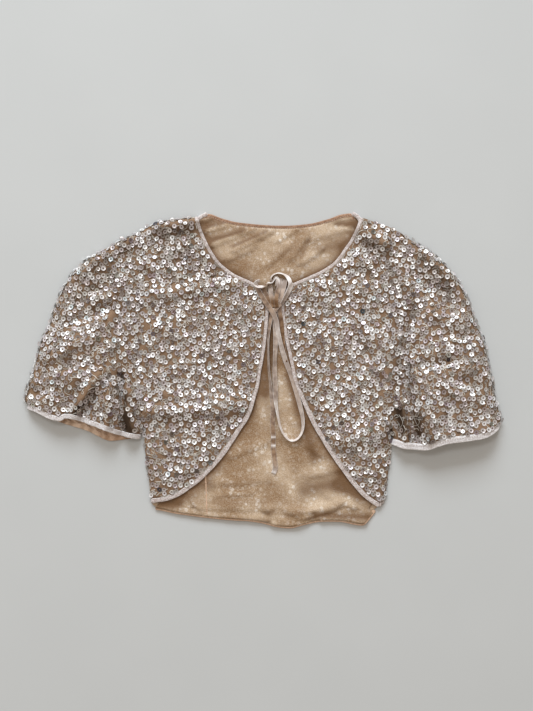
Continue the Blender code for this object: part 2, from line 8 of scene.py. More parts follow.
# %% Load the frame
import math
import bpy
import numpy as np
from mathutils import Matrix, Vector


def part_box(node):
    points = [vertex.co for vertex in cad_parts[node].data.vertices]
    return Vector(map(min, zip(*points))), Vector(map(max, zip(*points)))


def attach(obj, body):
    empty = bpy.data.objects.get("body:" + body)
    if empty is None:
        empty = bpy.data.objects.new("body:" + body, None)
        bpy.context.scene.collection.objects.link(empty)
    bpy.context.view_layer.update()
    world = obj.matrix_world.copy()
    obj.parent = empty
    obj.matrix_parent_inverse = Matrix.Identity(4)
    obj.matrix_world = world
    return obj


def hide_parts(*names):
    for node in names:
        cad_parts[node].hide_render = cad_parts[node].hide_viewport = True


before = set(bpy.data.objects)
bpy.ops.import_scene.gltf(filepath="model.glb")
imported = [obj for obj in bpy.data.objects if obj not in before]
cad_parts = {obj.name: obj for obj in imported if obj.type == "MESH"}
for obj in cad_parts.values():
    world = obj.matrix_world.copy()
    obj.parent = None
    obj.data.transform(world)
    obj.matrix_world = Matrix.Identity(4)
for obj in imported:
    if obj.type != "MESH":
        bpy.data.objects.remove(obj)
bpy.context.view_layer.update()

# %% [markdown]
# ## Camera, floor and light
# The garment is seen from straight above, so the camera needs no turning: Blender's camera
# looks down when it isn't turned. One wide, soft, cool light comes from beyond the neck, low
# enough to lay a long soft shadow under the hems. A small one above gives the sequins
# something bright to reflect. A pale and warm world fills the shadows.

# %% Camera, floor and light
CAMERA_OVER = (0.0055, 0.0217)
CAMERA_HEIGHT = 1.30
VIEW_HEIGHT = 1.010
LIGHTS = (
    ("window_light", (-0.75, 5.75, 3.3), (4.2, 2.7), 444.0, (0.87, 0.935, 1.0)),
    ("glint_light", (-0.30, 0.62, 1.75), (0.5, 0.3), 5.0, (1.0, 1.0, 1.0)),
)
WORLD = {"Color": (0.93, 0.82, 0.715, 1.0), "Strength": 0.50}


def srgb(red, green, blue):
    """Linear colour of a picture's 0 to 255 values: ((c / 255 + 0.055) / 1.055) to the 2.4."""
    return tuple(((c / 255.0 + 0.055) / 1.055) ** 2.4 for c in (red, green, blue))


def add_object(name, data, place=(0.0, 0.0, 0.0)):
    """A new object in the scene, at a place in metres."""
    made = bpy.data.objects.new(name, data)
    made.location = place
    bpy.context.scene.collection.objects.link(made)
    return made


lens = bpy.data.cameras.new("camera")
lens.sensor_width = 36.0
lens.lens = lens.sensor_width * CAMERA_HEIGHT / VIEW_HEIGHT
lens.clip_start = 0.02
bpy.context.scene.camera = add_object("camera", lens, (*CAMERA_OVER, CAMERA_HEIGHT))
bpy.context.scene.view_settings.view_transform = "Standard"
for name, place, size, power, colour in LIGHTS:
    lamp = bpy.data.lights.new(name, "AREA")
    lamp.shape = "RECTANGLE"
    lamp.size, lamp.size_y = size
    lamp.energy = power
    lamp.color = colour
    # Tipped and turned so that its -Z axis points at the middle of the table.
    tip = math.atan2(math.hypot(place[0], place[1]), place[2])
    turn = math.atan2(-place[0], place[1]) + math.pi
    add_object(name, lamp, place).rotation_euler = (tip, 0.0, turn)
world = bpy.data.worlds.new("pale_room")
world.use_nodes = True
for socket, value in WORLD.items():
    world.node_tree.nodes["Background"].inputs[socket].default_value = value
bpy.context.scene.world = world
print("lens in mm:", round(lens.lens, 1))

# %% [markdown]
# ## Writing shader maths as Python
# A material is a graph of small nodes. Wired by hand it is hard to read, so one small class
# stands for a socket and turns `a * b + 1` into Math nodes. Everything else, such as noise or
# a colour mix, comes from one method that takes a node's type, its settings and its values.

# %% A finish and its sockets


class Socket:
    """An output of a shader node that can stand in a sum."""

    def __init__(self, finish, output):
        self.finish = finish
        self.output = output

    def math(self, operation, *values):
        """This Math node's result, with this socket first."""
        return self.finish.node("ShaderNodeMath", {"operation": operation},
                                dict(enumerate((self, *values))))

    def __add__(self, other):
        return self.math("ADD", other)

    def __sub__(self, other):
        return self.math("SUBTRACT", other)

    def __rsub__(self, other):
        return self.math("MULTIPLY_ADD", -1.0, other)

    def __mul__(self, other):
        return self.math("MULTIPLY", other)

    __radd__ = __add__
    __rmul__ = __mul__

    def between(self, low, high):
        """0 below low, 1 above high, and an S curve between."""
        return self.finish.node("ShaderNodeMapRange", {"interpolation_type": "SMOOTHSTEP"},
                                {"Value": self, "From Min": low, "From Max": high})


class Finish:
    """A material of one kind of cloth, thread or sequin."""

    def __init__(self, name, **constants):
        self.material = bpy.data.materials.new(name)
        self.material.use_nodes = True
        self.nodes = self.material.node_tree.nodes
        self.links = self.material.node_tree.links
        self.shader = self.nodes["Principled BSDF"]
        self.spot = self.node("ShaderNodeTexCoord", output="Object")
        for socket, value in constants.items():
            self.shader.inputs[socket.replace("_", " ")].default_value = value

    def node(self, kind, settings=(), values=(), output=0):
        """Add a node, set it, fill its sockets and return one of its outputs."""
        made = self.nodes.new(kind)
        for name, value in dict(settings).items():
            setattr(made, name, value)
        for name, value in dict(values).items():
            self.fill(made.inputs[name], value)
        return Socket(self, made.outputs[output])

    def fill(self, socket, value):
        """Link a socket's value, or set it."""
        if isinstance(value, Socket):
            self.links.new(value.output, socket)
        elif isinstance(value, tuple) and len(value) == 3 and socket.type == "RGBA":
            socket.default_value = (*value, 1.0)
        else:
            socket.default_value = value

    def parts(self, vector):
        """The three numbers of a vector."""
        return [self.node("ShaderNodeSeparateXYZ", {}, {0: vector}, k) for k in range(3)]

    def place(self):
        """The three Object coordinates in millimetres."""
        return [part * 1000.0 for part in self.parts(self.spot)]

    def strip(self):
        """Along and across of a tape or ribbon in mm, and a tape's painted shade or a ribbon's
        brightness, which is partly painted light. On cloth and thread the first of the three is
        the painted shade."""
        held = self.node("ShaderNodeAttribute", {"attribute_name": "strip"}, output="Vector")
        return self.parts(held)

    def noise(self, scale, detail=2.0):
        """Cloudy noise from 0 to 1, about 1 / scale metres to a cloud."""
        return self.node("ShaderNodeTexNoise", {},
                         {"Vector": self.spot, "Scale": scale, "Detail": detail}, "Fac")

    def mix(self, share, first, second):
        """A colour mix: the first at 0, the second at 1."""
        return self.node("ShaderNodeMix", {"data_type": "RGBA"}, {0: share, 6: first, 7: second}, 2)

    def bump(self, height, distance, strength=1.0):
        """Lay a height over the surface, distance in metres for a height of 1."""
        made = self.node("ShaderNodeBump", {},
                         {"Height": height, "Distance": distance, "Strength": strength})
        self.fill(self.shader.inputs["Normal"], made)

    def set(self, **values):
        """Feed the shader's own sockets."""
        for socket, value in values.items():
            self.fill(self.shader.inputs[socket.replace("_", " ")], value)
        return self.material

    def paint(self, colour, share, deep, kept):
        """Base colour, turned in shade to the deep one times the part of it that is kept."""
        shade = tuple(np.multiply(deep, kept))
        return self.set(Base_Color=self.mix(share, colour, shade))


def ribs(value, pitch):
    """Threads side by side: the size of a sine with one rib to a pitch."""
    return (value * (math.pi / pitch)).math("SINE").math("ABSOLUTE")

# %% [markdown]
# ## The finishes
# The ground is a tan net with a thread every 1.3 mm. The lining is a sheer beige cloth, and
# the sequins behind it show through as faint pale discs, so a cell pattern with the sequins'
# own spacing draws them. The binding is a woven tape, pinkish white, with a painted highlight
# towards its edges, and the ties are satin with a paler woven edge. The thread is twisted, and
# the sequins are a pearly plastic whose colour comes from an attribute: one tone to a sequin,
# with painted shade from the folds in it, and painted shade and highlight round each cup. Each
# has its own small relief. Cloth, tape and thread are deeper where another attribute says that
# they lie in a fold's shade, which is painted shade.

# %% Floor, net and lining
NET_PITCH = 1.3
NET_SLANT = 0.35
NET_IN_SHADE = 0.28
WEAVE_PITCH = 0.45
GHOST_CELLS = 130.0
LINING_IN_SHADE = (0.52, 0.42, 0.30)
DEEPEST = 0.9
floor_finish = Finish("pale_table", Roughness=0.85)
floor_finish.bump(floor_finish.noise(900.0, 3.0), 0.0002, 0.15)
floor_paint = floor_finish.set(Base_Color=floor_finish.mix(
    floor_finish.noise(7.0), srgb(197, 200, 200), srgb(202, 205, 205)))


def net_finish(name, deep, pale):
    """Fine net: ribs along X and Y, the gaps in the deep colour, and deeper in shade."""
    finish = Finish(name, Roughness=0.75, Specular_IOR_Level=0.2)
    x, y, _ = finish.place()
    threads = ribs(x + y * NET_SLANT, NET_PITCH).math("MAXIMUM",
                                                      ribs(y - x * NET_SLANT, NET_PITCH))
    open_net = threads.between(0.55, 0.95)
    clouds = finish.noise(45.0).between(0.3, 0.7)
    finish.bump(open_net, 0.0003, 0.5)
    cloth = finish.mix(clouds * 0.35, finish.mix(open_net, deep, pale), deep)
    return finish.paint(cloth, finish.strip()[0], deep, NET_IN_SHADE)


def lining_finish(name, deep, middle, pale, ghosts):
    """Sheer cloth: clouds, a fine weave, pale discs at the sequins' spacing, deeper in shade."""
    finish = Finish(name, Roughness=0.55, Specular_IOR_Level=0.3)
    x, y, _ = finish.place()
    cells = finish.node("ShaderNodeTexVoronoi", {},
                        {"Vector": finish.spot, "Scale": GHOST_CELLS, "Randomness": 1.0},
                        "Distance")
    disc = 1.0 - cells.between(0.24, 0.40)
    hole = 1.0 - cells.between(0.03, 0.10)
    patches = finish.noise(30.0, 3.0).between(0.46, 0.70)
    ghost = (disc - hole * 0.6) * (0.15 + patches * 0.85) * ghosts
    wander = (finish.noise(210.0, 1.0) - 0.5).math("ABSOLUTE")
    squiggle = (1.0 - wander.between(0.0, 0.05)) * (0.16 + patches * 0.40)
    clouds = finish.noise(15.0, 3.0).between(0.35, 0.65)
    grains = finish.noise(620.0).between(0.35, 0.68)
    ground = finish.mix(clouds * 0.7 + grains * 0.3, deep, middle)
    weave = ribs(x, WEAVE_PITCH) * ribs(y, WEAVE_PITCH)
    finish.bump(ghost * 0.8 + weave * 0.15 + clouds * 0.4 + grains * 0.4, 0.0006, 0.8)
    cloth = finish.mix((ghost + squiggle).math("MINIMUM", 1.0), ground, pale)
    return finish.paint(cloth, finish.strip()[0] * DEEPEST, deep, LINING_IN_SHADE)


net = net_finish("tan_net", srgb(96, 72, 53), srgb(165, 136, 110))
lining = lining_finish("sheer_lining", srgb(146, 114, 80), srgb(219, 197, 170),
                       srgb(250, 242, 231), 0.75)
sleeve_lining = lining_finish("sleeve_lining", srgb(202, 166, 138), srgb(244, 218, 194),
                              srgb(250, 230, 210), 0.2)

# %% Tape, facing, ribbon, thread and sequin
TAPE_IN_SHADE = 0.45
THREAD_IN_SHADE = 0.2


def tape_finish(name, ground, edge):
    """Woven tape: ribs across it every 0.8 mm, a little dust, and paler towards both edges,
    a painted highlight where the tape rolls over.
    """
    finish = Finish(name, Roughness=0.7, Sheen_Weight=0.3)
    along, across, shaded = finish.strip()
    weave = ribs(along, 0.8) * ribs(across, 0.7)
    # Painted highlight: paler towards both edges of the tape.
    painted_edge_highlight = across.math("ABSOLUTE").between(1.6, 3.0)
    clouds = finish.noise(420.0).between(0.38, 0.62)
    shade = finish.mix(painted_edge_highlight * 0.45 + clouds * 0.55, ground, edge)
    finish.bump(weave * 0.5 + clouds * 0.7, 0.0005, 0.8)
    return finish.paint(shade, shaded, ground, TAPE_IN_SHADE)


def satin_finish(name):
    """Satin ribbon: fine ribs, a pale woven edge, brown on its dull side and white on its
    bright, a mix that is partly painted light: white where lit, brown in shade.
    """
    finish = Finish(name, Roughness=0.38, Specular_IOR_Level=0.3)
    along, across, bright_side_and_painted_light = finish.strip()
    lip = across.math("ABSOLUTE").between(2.75, 3.15)
    streaks = finish.noise(120.0).between(0.35, 0.7)
    dull = finish.mix(streaks, srgb(104, 74, 48), srgb(160, 129, 100))
    shining = finish.mix(streaks, srgb(226, 216, 210), srgb(252, 250, 249))
    # Partly painted light: white where the ribbon catches the light, brown where it lies in shade.
    shade = finish.mix((bright_side_and_painted_light + lip * 0.35).math("MINIMUM", 1.0), dull, shining)
    finish.bump(ribs(across, 0.35) * 0.3 + ribs(along, 0.5) * 0.2 + lip, 0.0002, 0.5)
    return finish.set(Base_Color=shade)


def thread_finish(name, deep, pale):
    """Twisted thread: slanting ribs, deeper in shade."""
    finish = Finish(name, Roughness=0.6)
    x, y, z = finish.place()
    twist = ribs(x + y + z, 0.5)
    tone = finish.noise(70.0).between(0.35, 0.65)
    finish.bump(twist, 0.0002, 0.6)
    return finish.paint(finish.mix(tone, deep, pale), finish.strip()[0], deep, THREAD_IN_SHADE)


def sequin_finish(name):
    """Pearly plastic: the tone attribute, each sequin's colour with painted shade and highlight
    in it, clouded a little, smooth, slightly metallic.
    """
    finish = Finish(name, Coat_Weight=0.4, Coat_Roughness=0.15, IOR=1.5)
    tone = finish.node("ShaderNodeAttribute", {"attribute_name": "tone"}, {}, "Color")
    clouds = finish.noise(240.0).between(0.35, 0.75)
    dull = finish.node("ShaderNodeMix", {"data_type": "RGBA", "blend_type": "MULTIPLY"},
                       {0: 0.30, 6: tone, 7: finish.mix(clouds, (1.0, 1.0, 1.0),
                                                        srgb(214, 196, 184))}, 2)
    finish.bump(clouds, 0.0002, 0.25)
    return finish.set(Base_Color=dull, Roughness=0.24 + clouds * 0.15, Metallic=0.3)


tape = tape_finish("binding_tape", srgb(190, 174, 168), srgb(248, 244, 243))
# Painted light: the sleeve hems' tape is the binding tape made paler.
sleeve_tape = tape_finish("sleeve_tape", srgb(212, 205, 204), srgb(250, 248, 249))
facing = tape_finish("neck_facing", srgb(142, 104, 76), srgb(184, 146, 118))
hem_cloth = tape_finish("hem_roll", srgb(198, 162, 132), srgb(232, 200, 174))
satin = satin_finish("satin_tie")
cream_thread = thread_finish("cream_thread", srgb(174, 162, 148), srgb(224, 217, 207))
sewing_thread = thread_finish("sewing_thread", srgb(196, 180, 168), srgb(226, 214, 204))
pearl = sequin_finish("pearl_sequin")
print("finishes:", len(bpy.data.materials))

# %% [markdown]
# ## From arrays to meshes
# All the pieces here are lofts: rings of points, each joined to the next. A sheet of cloth is
# a loft too, when each ring runs out along its upper side and back along its lower side. The
# last faces then close both ends with quads that zip the two sides together. If the loft
# comes out with a negative volume it is inside out, and all its faces are turned round.

# %% Lofts, shells and pieces
FLOOR_HALF = 4.0
FLOOR_DROP = 0.0001
KNOT_CENTRE = (20.0, 102.0)
knot_low, knot_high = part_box("tie_knot")
SHIFT = np.array([500.0 * (knot_low[k] + knot_high[k]) - KNOT_CENTRE[k] for k in range(2)] + [0.0])


def loft(rings, closed=False):
    """Quads between rings of points shaped (copies, rings, points, 3); ends zipped or joined."""
    copies, count, size = rings.shape[:3]
    i = np.arange(count if closed else count - 1)[:, None]
    j = np.arange(size)[None, :]
    far = (i + 1) % count
    beside = (j + 1) % size
    quads = np.stack((i * size + j, i * size + beside, far * size + beside, far * size + j), -1)
    quads = quads.reshape(-1, 4)
    if not closed:
        k = np.arange(size // 2 - 1)
        near = np.stack((k, size - 1 - k, size - 2 - k, k + 1), -1)
        end = (count - 1) * size + np.stack((k, k + 1, size - 2 - k, size - 1 - k), -1)
        quads = np.concatenate((quads, near, end))
    starts = np.arange(copies)[:, None, None] * count * size
    return rings.reshape(-1, 3), (quads[None] + starts).reshape(-1, 4)


def volume_of(points, quads):
    """Signed volume: a sixth of the sum of corner a dot (b x c), over each quad's two halves."""
    a, b, c, d = (points[quads[:, k]] for k in range(4))
    return (np.einsum("ij,ij->i", a, np.cross(b, c)).sum()
            + np.einsum("ij,ij->i", a, np.cross(c, d)).sum()) / 6.0


def area_of(grid):
    """Area of a grid in square metres: half the cross product of each cell's diagonals."""
    across = grid[1:, 1:] - grid[:-1, :-1]
    back = grid[1:, :-1] - grid[:-1, 1:]
    return 0.5e-6 * np.linalg.norm(np.cross(across, back), axis=-1).sum()


def to_frame(points):
    """From the cutting table's millimetres to the frame's metres."""
    return (np.asarray(points) + SHIFT) * 0.001


def make_piece(name, points, quads, finishes, replaces=(), second=None, strip=None,
               tone=None, smooth=True):
    """A mesh object from arrays; second marks faces that take the second finish."""
    if volume_of(points, quads) < 0.0:
        quads = quads[:, ::-1]
    mesh = bpy.data.meshes.new(name)
    mesh.vertices.add(len(points))
    mesh.vertices.foreach_set("co", to_frame(points).astype(np.float32).ravel())
    mesh.loops.add(quads.size)
    mesh.loops.foreach_set("vertex_index", quads.astype(np.int32).ravel())
    mesh.polygons.add(len(quads))
    mesh.polygons.foreach_set("loop_start", np.arange(0, quads.size, 4, dtype=np.int32))
    mesh.update(calc_edges=True)
    for finish in finishes:
        mesh.materials.append(finish)
    if second is not None:
        mesh.polygons.foreach_set("material_index", second.astype(np.int32))
    for name_held, kind, field, values in (("strip", "FLOAT_VECTOR", "vector", strip),
                                           ("tone", "FLOAT_COLOR", "color", tone)):
        if values is not None:
            held = mesh.attributes.new(name_held, kind, "POINT")
            held.data.foreach_set(field, values.astype(np.float32).ravel())
    mesh.polygons.foreach_set("use_smooth", np.full(len(quads), smooth))
    made = add_object(name, mesh)
    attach(made, "root")
    if replaces:
        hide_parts(*replaces)
    print(f"{name}: {len(quads) * 2} triangles")
    return made


corners = np.array([(-1, -1, 0), (1, -1, 0), (1, 1, 0), (-1, 1, 0)]) * FLOOR_HALF
floor_mesh = bpy.data.meshes.new("table_top")
floor_mesh.from_pydata((corners - (0.0, 0.0, FLOOR_DROP)).tolist(), [], [(0, 1, 2, 3)])
floor_mesh.materials.append(floor_paint)
add_object("table_top", floor_mesh)
print("shift of the cutting table in mm:", SHIFT.round(3))

# %% [markdown]
# ## Curves on the cutting table
# Every edge of the garment is a short list of points that a smooth curve passes through.
# A Catmull-Rom curve does that: between two points it leaves each in the direction of its
# neighbours. The curve is then walked again in even steps, so that a grid along it is even.

# %% Curves and edges
SPAN_POINTS = 12


def round_angles(count):
    """Evenly spaced angles round a circle, in radians."""
    return np.linspace(0.0, 2.0 * np.pi, count, endpoint=False)


def travelled(points):
    """Length along a polyline up to each of its points."""
    steps = np.linalg.norm(np.diff(points, axis=0), axis=1)
    return np.concatenate(([0.0], np.cumsum(steps)))


def resample(points, count):
    """count points evenly spaced by length on a polyline."""
    length = travelled(points)
    wanted = np.linspace(0.0, length[-1], count)
    return np.stack([np.interp(wanted, length, points[:, k])
                     for k in range(points.shape[1])], axis=1)


def curve(rows, count):
    """Catmull-Rom: half of (2b + (c-a)t + (2a-5b+4c-d)t^2 + (3b-a-3c+d)t^3) on each span."""
    knots = np.array(rows, dtype=float)
    padded = np.vstack((2.0 * knots[0] - knots[1], knots, 2.0 * knots[-1] - knots[-2]))
    a, b, c, d = (padded[k:len(padded) - 3 + k, None] for k in range(4))
    t = np.linspace(0.0, 1.0, SPAN_POINTS, endpoint=False)[None, :, None]
    spans = 0.5 * (2.0 * b + (c - a) * t + (2.0 * a - 5.0 * b + 4.0 * c - d) * t ** 2
                   + (3.0 * b - a - 3.0 * c + d) * t ** 3)
    return resample(np.vstack((spans.reshape(-1, knots.shape[1]), knots[-1:])), count)


def unit(vectors):
    """Vectors made one long."""
    return vectors / np.linalg.norm(vectors, axis=-1, keepdims=True)


def normals(points):
    """Unit normals in plan, on the left of the direction of travel."""
    along = unit(np.gradient(points[:, :2], axis=0))
    return np.stack((-along[:, 1], along[:, 0]), axis=1)


def shifted(points, distance):
    """A plan curve moved sideways, to the left of its travel when distance is over 0."""
    return points[:, :2] + normals(points) * distance

# %% [markdown]
# ## The ties
# Two satin ribbons 6.6 mm wide are sewn to the front corners and meet in a soft half bow. The
# left one crosses over, makes the long loop beside the right front and goes back into the
# knot. The right one goes through the knot and ends in the free tail. A ribbon is a flat
# profile carried along its route, and where it rolls on to its edge it shows as a thin pale
# line, so each route point also has a roll in degrees. It is lifted by its own half width
# there, because a ribbon on edge still stands on what is under it. Satin has a bright and a
# dull side, and the last number of a route point says how much of the bright one is up. That
# number is also painted light: it is high where the ribbon catches the light and near 0 where
# it lies in shade.

# %% Ribbon routes: x, y, height of the underside, roll, how bright its upper side is (partly painted light)
RIBBON_WIDTH = 6.6
RIBBON_THICKNESS = 0.5
LOOP_ROUTE = ((-9, 122, 6.6, 40, 0.5), (-5, 113, 7.2, 20, 0.15), (1, 103, 7.8, 8, 0.1),
              (8, 92, 8.4, 0, 0.1), (15, 82, 9.0, 0, 0.15), (20, 71, 8.2, 8, 0.35),
              (22, 58, 6.8, 20, 0.6), (25, 44, 5.2, 25, 0.6), (29, 28, 4.2, 15, 0.45),
              (34, 12, 3.6, 0, 0.4), (41, -6, 3.3, 0, 0.3), (48, -28, 3.3, 10, 0.3),
              (54, -50, 3.3, 22, 0.35), (58, -70, 3.3, 48, 0.6), (57, -86, 3.3, 66, 0.9),
              (50, -97, 3.3, 74, 1.0), (40, -99, 3.4, 74, 0.9), (31, -91, 3.4, 72, 0.9),
              (25, -77, 3.5, 68, 1.0), (22, -62, 3.8, 60, 1.0), (20, -50, 4.6, 48, 0.8),
              (19, -38, 5.2, 25, 0.3), (19, -24, 5.2, 12, 0.25), (18, -4, 5.2, 20, 0.3),
              (18, 14, 5.2, 40, 0.3), (19, 36, 5.4, 20, 0.3), (19, 58, 5.8, 5, 0.3),
              (18, 74, 6.2, 5, 0.2), (19, 88, 6.4, 0, 0.15))
TAIL_ROUTE = ((43, 124, 6.6, -40, 0.9), (39, 115, 7.4, -20, 0.6), (34, 106, 8.4, -5, 0.3),
              (28, 97, 8.4, 5, 0.2), (21, 89, 6.0, 15, 0.15), (14, 78, 4.2, 35, 0.1),
              (11, 62, 3.8, 55, 0.15), (9, 42, 3.5, 66, 0.3), (9, 22, 3.3, 68, 0.35),
              (10, 0, 3.3, 66, 0.3), (12, -18, 3.3, 60, 0.3), (14, -38, 3.3, 36, 0.25),
              (16, -54, 3.3, 8, 0.15), (15, -72, 3.3, 0, 0.1), (16, -91, 3.3, -4, 0.1),
              # The short rises near y -94 and y -107 are creases with a painted highlight along
              # them.
              (16, -94, 3.9, -4, 0.95), (16, -97, 3.3, -4, 0.1), (16, -104, 3.3, 0, 0.15),
              (16, -107, 4.0, 3, 1.0), (16, -110, 3.3, 3, 0.1), (18, -128, 3.3, 0, 0.1),
              (19, -138, 3.3, 2, 0.25), (16, -146, 3.4, 6, 0.8))
# Wraps whose last number is near 0 are brown: partly their dull side, partly painted shade inside
# the knot.
KNOT_ROUTES = (
    ((12.5, 126, 5.4, -70, 0.2), (12.5, 130.5, 4.6, -74, 0.5), (16, 135, 4.0, -74, 0.9),
     (23, 137.5, 3.8, -74, 1.0), (31, 135.5, 4.2, -68, 1.0), (37, 130.5, 5.4, -36, 1.0),
     (39.5, 123, 7.0, -42, 1.0), (36, 113, 7.6, -70, 0.8), (31, 103.5, 7.8, -72, 0.7),
     (27, 94, 7.6, -60, 0.4)),
    ((-3, 127.5, 5.6, -66, 1.0), (-8, 125.5, 6.6, -60, 1.0), (-10, 121, 7.0, -50, 1.0),
     (-6, 118.4, 7.7, -52, 1.0), (0, 118.2, 7.6, -58, 1.0), (4, 119.2, 7.2, -72, 0.1),
     (6.5, 121.5, 6.4, -76, 0.0), (9, 124, 5.8, -74, 0.9), (13, 123.4, 5.8, -74, 1.0),
     (16, 126.5, 5.2, -66, 0.7), (19.5, 132, 4.6, -55, 1.0), (22, 128, 6.0, -30, 1.0),
     (22, 119, 7.4, 0, 0.15)),
    ((2, 116, 6.8, 5, 0.0), (5, 109, 7.4, 0, 0.1), (10, 100, 7.4, 0, 0.0),
     (16, 90, 6.6, 0, 0.0)),
    ((11, 122, 4.6, 10, 0.1), (12, 115, 6.6, 15, 0.35), (13, 107, 8.2, 0, 0.25),
     (15, 98, 7.8, 0, 0.0), (17, 89, 6.8, 0, 0.0)),
    ((26, 131, 3.6, -10, 0.5), (25, 121, 6.0, -20, 0.35), (22, 111, 8.6, 0, 0.1),
     (20, 100, 8.8, 5, 0.0), (21, 89, 7.2, 5, 0.0)),
    ((33, 129, 4.2, 20, 0.4), (31, 118, 6.0, 20, 0.3), (28, 108, 7.6, 20, 0.2),
     (26, 98, 7.6, 20, 0.2), (25, 86, 5.8, 15, 0.1), (28, 66, 4.2, 20, 0.0),
     (29, 46, 3.6, 10, 0.0), (31, 28, 3.4, 5, 0.0), (33, 12, 3.3, 5, 0.0)),
)
print("ribbon routes:", 2 + len(KNOT_ROUTES))

# %% Carry the ribbons along their routes
ROUTE_POINTS = 400
RIBBON_CURL = 0.35
RIBBON_POINTS = 9
RIBBON_STEP = 1.6
KNOT_STEP = 1.2


def strip_of(rings, along, across, third=0.0):
    """The strip attribute: along, across, and a ribbon's brightness, partly painted light,
    or a tape's painted shade.
    """
    strip = np.zeros_like(rings)
    strip[..., 0] = along[:, None]
    strip[..., 1] = across
    strip[..., 2] = third
    return strip.reshape(-1, 3)


def ribbon(route, step):
    """A curled flat profile along a route: across = side cos(roll) + up sin(roll)."""
    line = curve(route, ROUTE_POINTS)
    line = resample(line, int(travelled(line[:, :3])[-1] / step))
    roll = np.radians(line[:, 3])[:, None]
    along = unit(np.gradient(line[:, :3], axis=0))
    side = unit(np.cross((0.0, 0.0, 1.0), along))
    above = np.cross(along, side)
    across = side * np.cos(roll) + above * np.sin(roll)
    up = above * np.cos(roll) - side * np.sin(roll)
    path = line[:, :3].copy()
    path[:, 2] += 0.5 * RIBBON_WIDTH * np.abs(np.sin(roll[:, 0])) + 0.5 * RIBBON_THICKNESS
    share = np.linspace(-1.0, 1.0, RIBBON_POINTS)
    wide, thick = share * 0.5 * RIBBON_WIDTH, 0.5 * RIBBON_THICKNESS
    curl = RIBBON_CURL * share ** 2
    profile = np.concatenate((np.stack((wide, curl + thick), -1),
                              np.stack((wide, curl - thick), -1)[::-1]))
    rings = (path[:, None] + across[:, None] * profile[None, :, :1]
             + up[:, None] * profile[None, :, 1:])
    return path, rings, strip_of(rings, travelled(path), profile[None, :, 0], line[:, 4:])


def make_ribbon(name, routes, replaces, step=RIBBON_STEP):
    """Ribbons along one or more routes as one piece, and the path of the first."""
    parts = [ribbon(route, step) for route in routes]
    lofts = [loft(rings[None]) for _, rings, _ in parts]
    starts = np.cumsum([0] + [len(points) for points, _ in lofts])
    made = make_piece(name, np.concatenate([points for points, _ in lofts]),
                      np.concatenate([quads + k for (_, quads), k in zip(lofts, starts)]),
                      [satin], replaces,
                      strip=np.concatenate([strip for _, _, strip in parts]))
    return made, parts[0][0]


loop_ribbon, loop_path = make_ribbon("loop_ribbon", (LOOP_ROUTE,), ("tie_lead_left", "tie_loop"))
tail_ribbon, tail_path = make_ribbon("tail_ribbon", (TAIL_ROUTE,), ("tie_lead_right", "tie_tail"))
knot, _ = make_ribbon("knot_wraps", KNOT_ROUTES, ("tie_knot",), KNOT_STEP)
print("ribbon lengths in mm:", [round(travelled(p)[-1]) for p in (loop_path, tail_path)])

# %% [markdown]
# ## The cut of the cloth
# These are the finished edges as they lie, in millimetres on the cutting table, with the left
# of the garment on -X. A panel between four such edges is a Coons patch: the two sheets that
# rule straight between opposite edges are added, and the sheet through the corners is taken
# away once. A sleeve's hem has two edges, one for its upper half and one for its lower.

# %% Edges of the panels
SHOULDER = {
    "left": ((-91, 219), (-102, 217), (-124, 214), (-145, 211), (-159, 205)),
    "right": ((139, 218), (150, 214), (163, 209), (179, 204)),
}
SLEEVE_TOP = {
    "left": ((-159, 205), (-176, 195), (-199, 185), (-219, 174), (-237, 164), (-251, 154),
             (-266, 141), (-281, 117), (-293, 92), (-300, 66), (-310, 48), (-318, 21),
             (-328, -11), (-334, -28), (-338, -48)),
    "right": ((179, 204), (196, 195), (217, 181), (236, 170), (253, 155), (270, 137),
              (283, 117), (294, 94), (302, 69), (311, 48), (318, 21), (324, -9),
              (329, -36), (336, -58), (340, -74)),
}
SLEEVE_HEM = {
    "left": ((-169, -98), (-202, -91), (-226, -81), (-244, -75), (-262, -69), (-275, -67),
             (-283, -71), (-299, -67), (-315, -59), (-332, -53), (-338, -48)),
    "right": ((180, -103), (196, -109), (213, -111), (231, -111), (250, -104), (264, -101),
              (281, -99), (307, -95), (322, -89), (333, -82), (340, -74)),
}
SLEEVE_HEM_UNDER = {
    "left": ((-169, -98), (-189, -97), (-205, -99), (-219, -99), (-232, -93), (-246, -86),
             (-264, -80), (-284, -74), (-306, -65), (-329, -56), (-338, -48)),
    "right": ((180, -103), (196, -107), (213, -108), (231, -107), (250, -101), (264, -98),
              (281, -96), (307, -93), (322, -88), (333, -81), (340, -74)),
}
ARMHOLE = {
    "left": ((-159, 205), (-169, 154), (-175, 100), (-178, 43), (-176, -6), (-172, -46),
             (-168, -82)),
    "right": ((179, 204), (187, 157), (195, 100), (197, 43), (196, -6), (190, -50),
              (183, -84)),
}
SIDE = {
    "left": ((-168, -82), (-165, -120), (-160, -155), (-157, -188)),
    "right": ((183, -84), (183, -115), (179, -143), (176, -167), (174, -181), (170, -191)),
}
FRONT_EDGE = {
    "left": ((-91, 219), (-84, 197), (-77, 181), (-70, 168), (-60, 154), (-45, 141),
             (-31, 133), (-17, 127), (-2, 119), (6, 108), (10, 92), (9, 70), (6, 40), (3, 19),
             (-1, -2), (-4, -23), (-9, -40), (-14, -58), (-21, -72), (-31, -87), (-43, -106),
             (-55, -123), (-70, -140), (-85, -155), (-102, -168), (-119, -179), (-136, -185),
             (-157, -188)),
    "right": ((139, 218), (131, 198), (124, 184), (116, 173), (108, 161), (97, 150),
              (82, 141), (65, 133), (43, 123), (31, 112), (27, 96), (27, 79), (30, 59),
              (34, 36), (40, 9), (45, -15), (53, -36), (61, -56), (71, -77), (84, -99),
              (97, -120), (111, -140), (126, -160), (141, -177), (153, -187), (166, -195)),
}
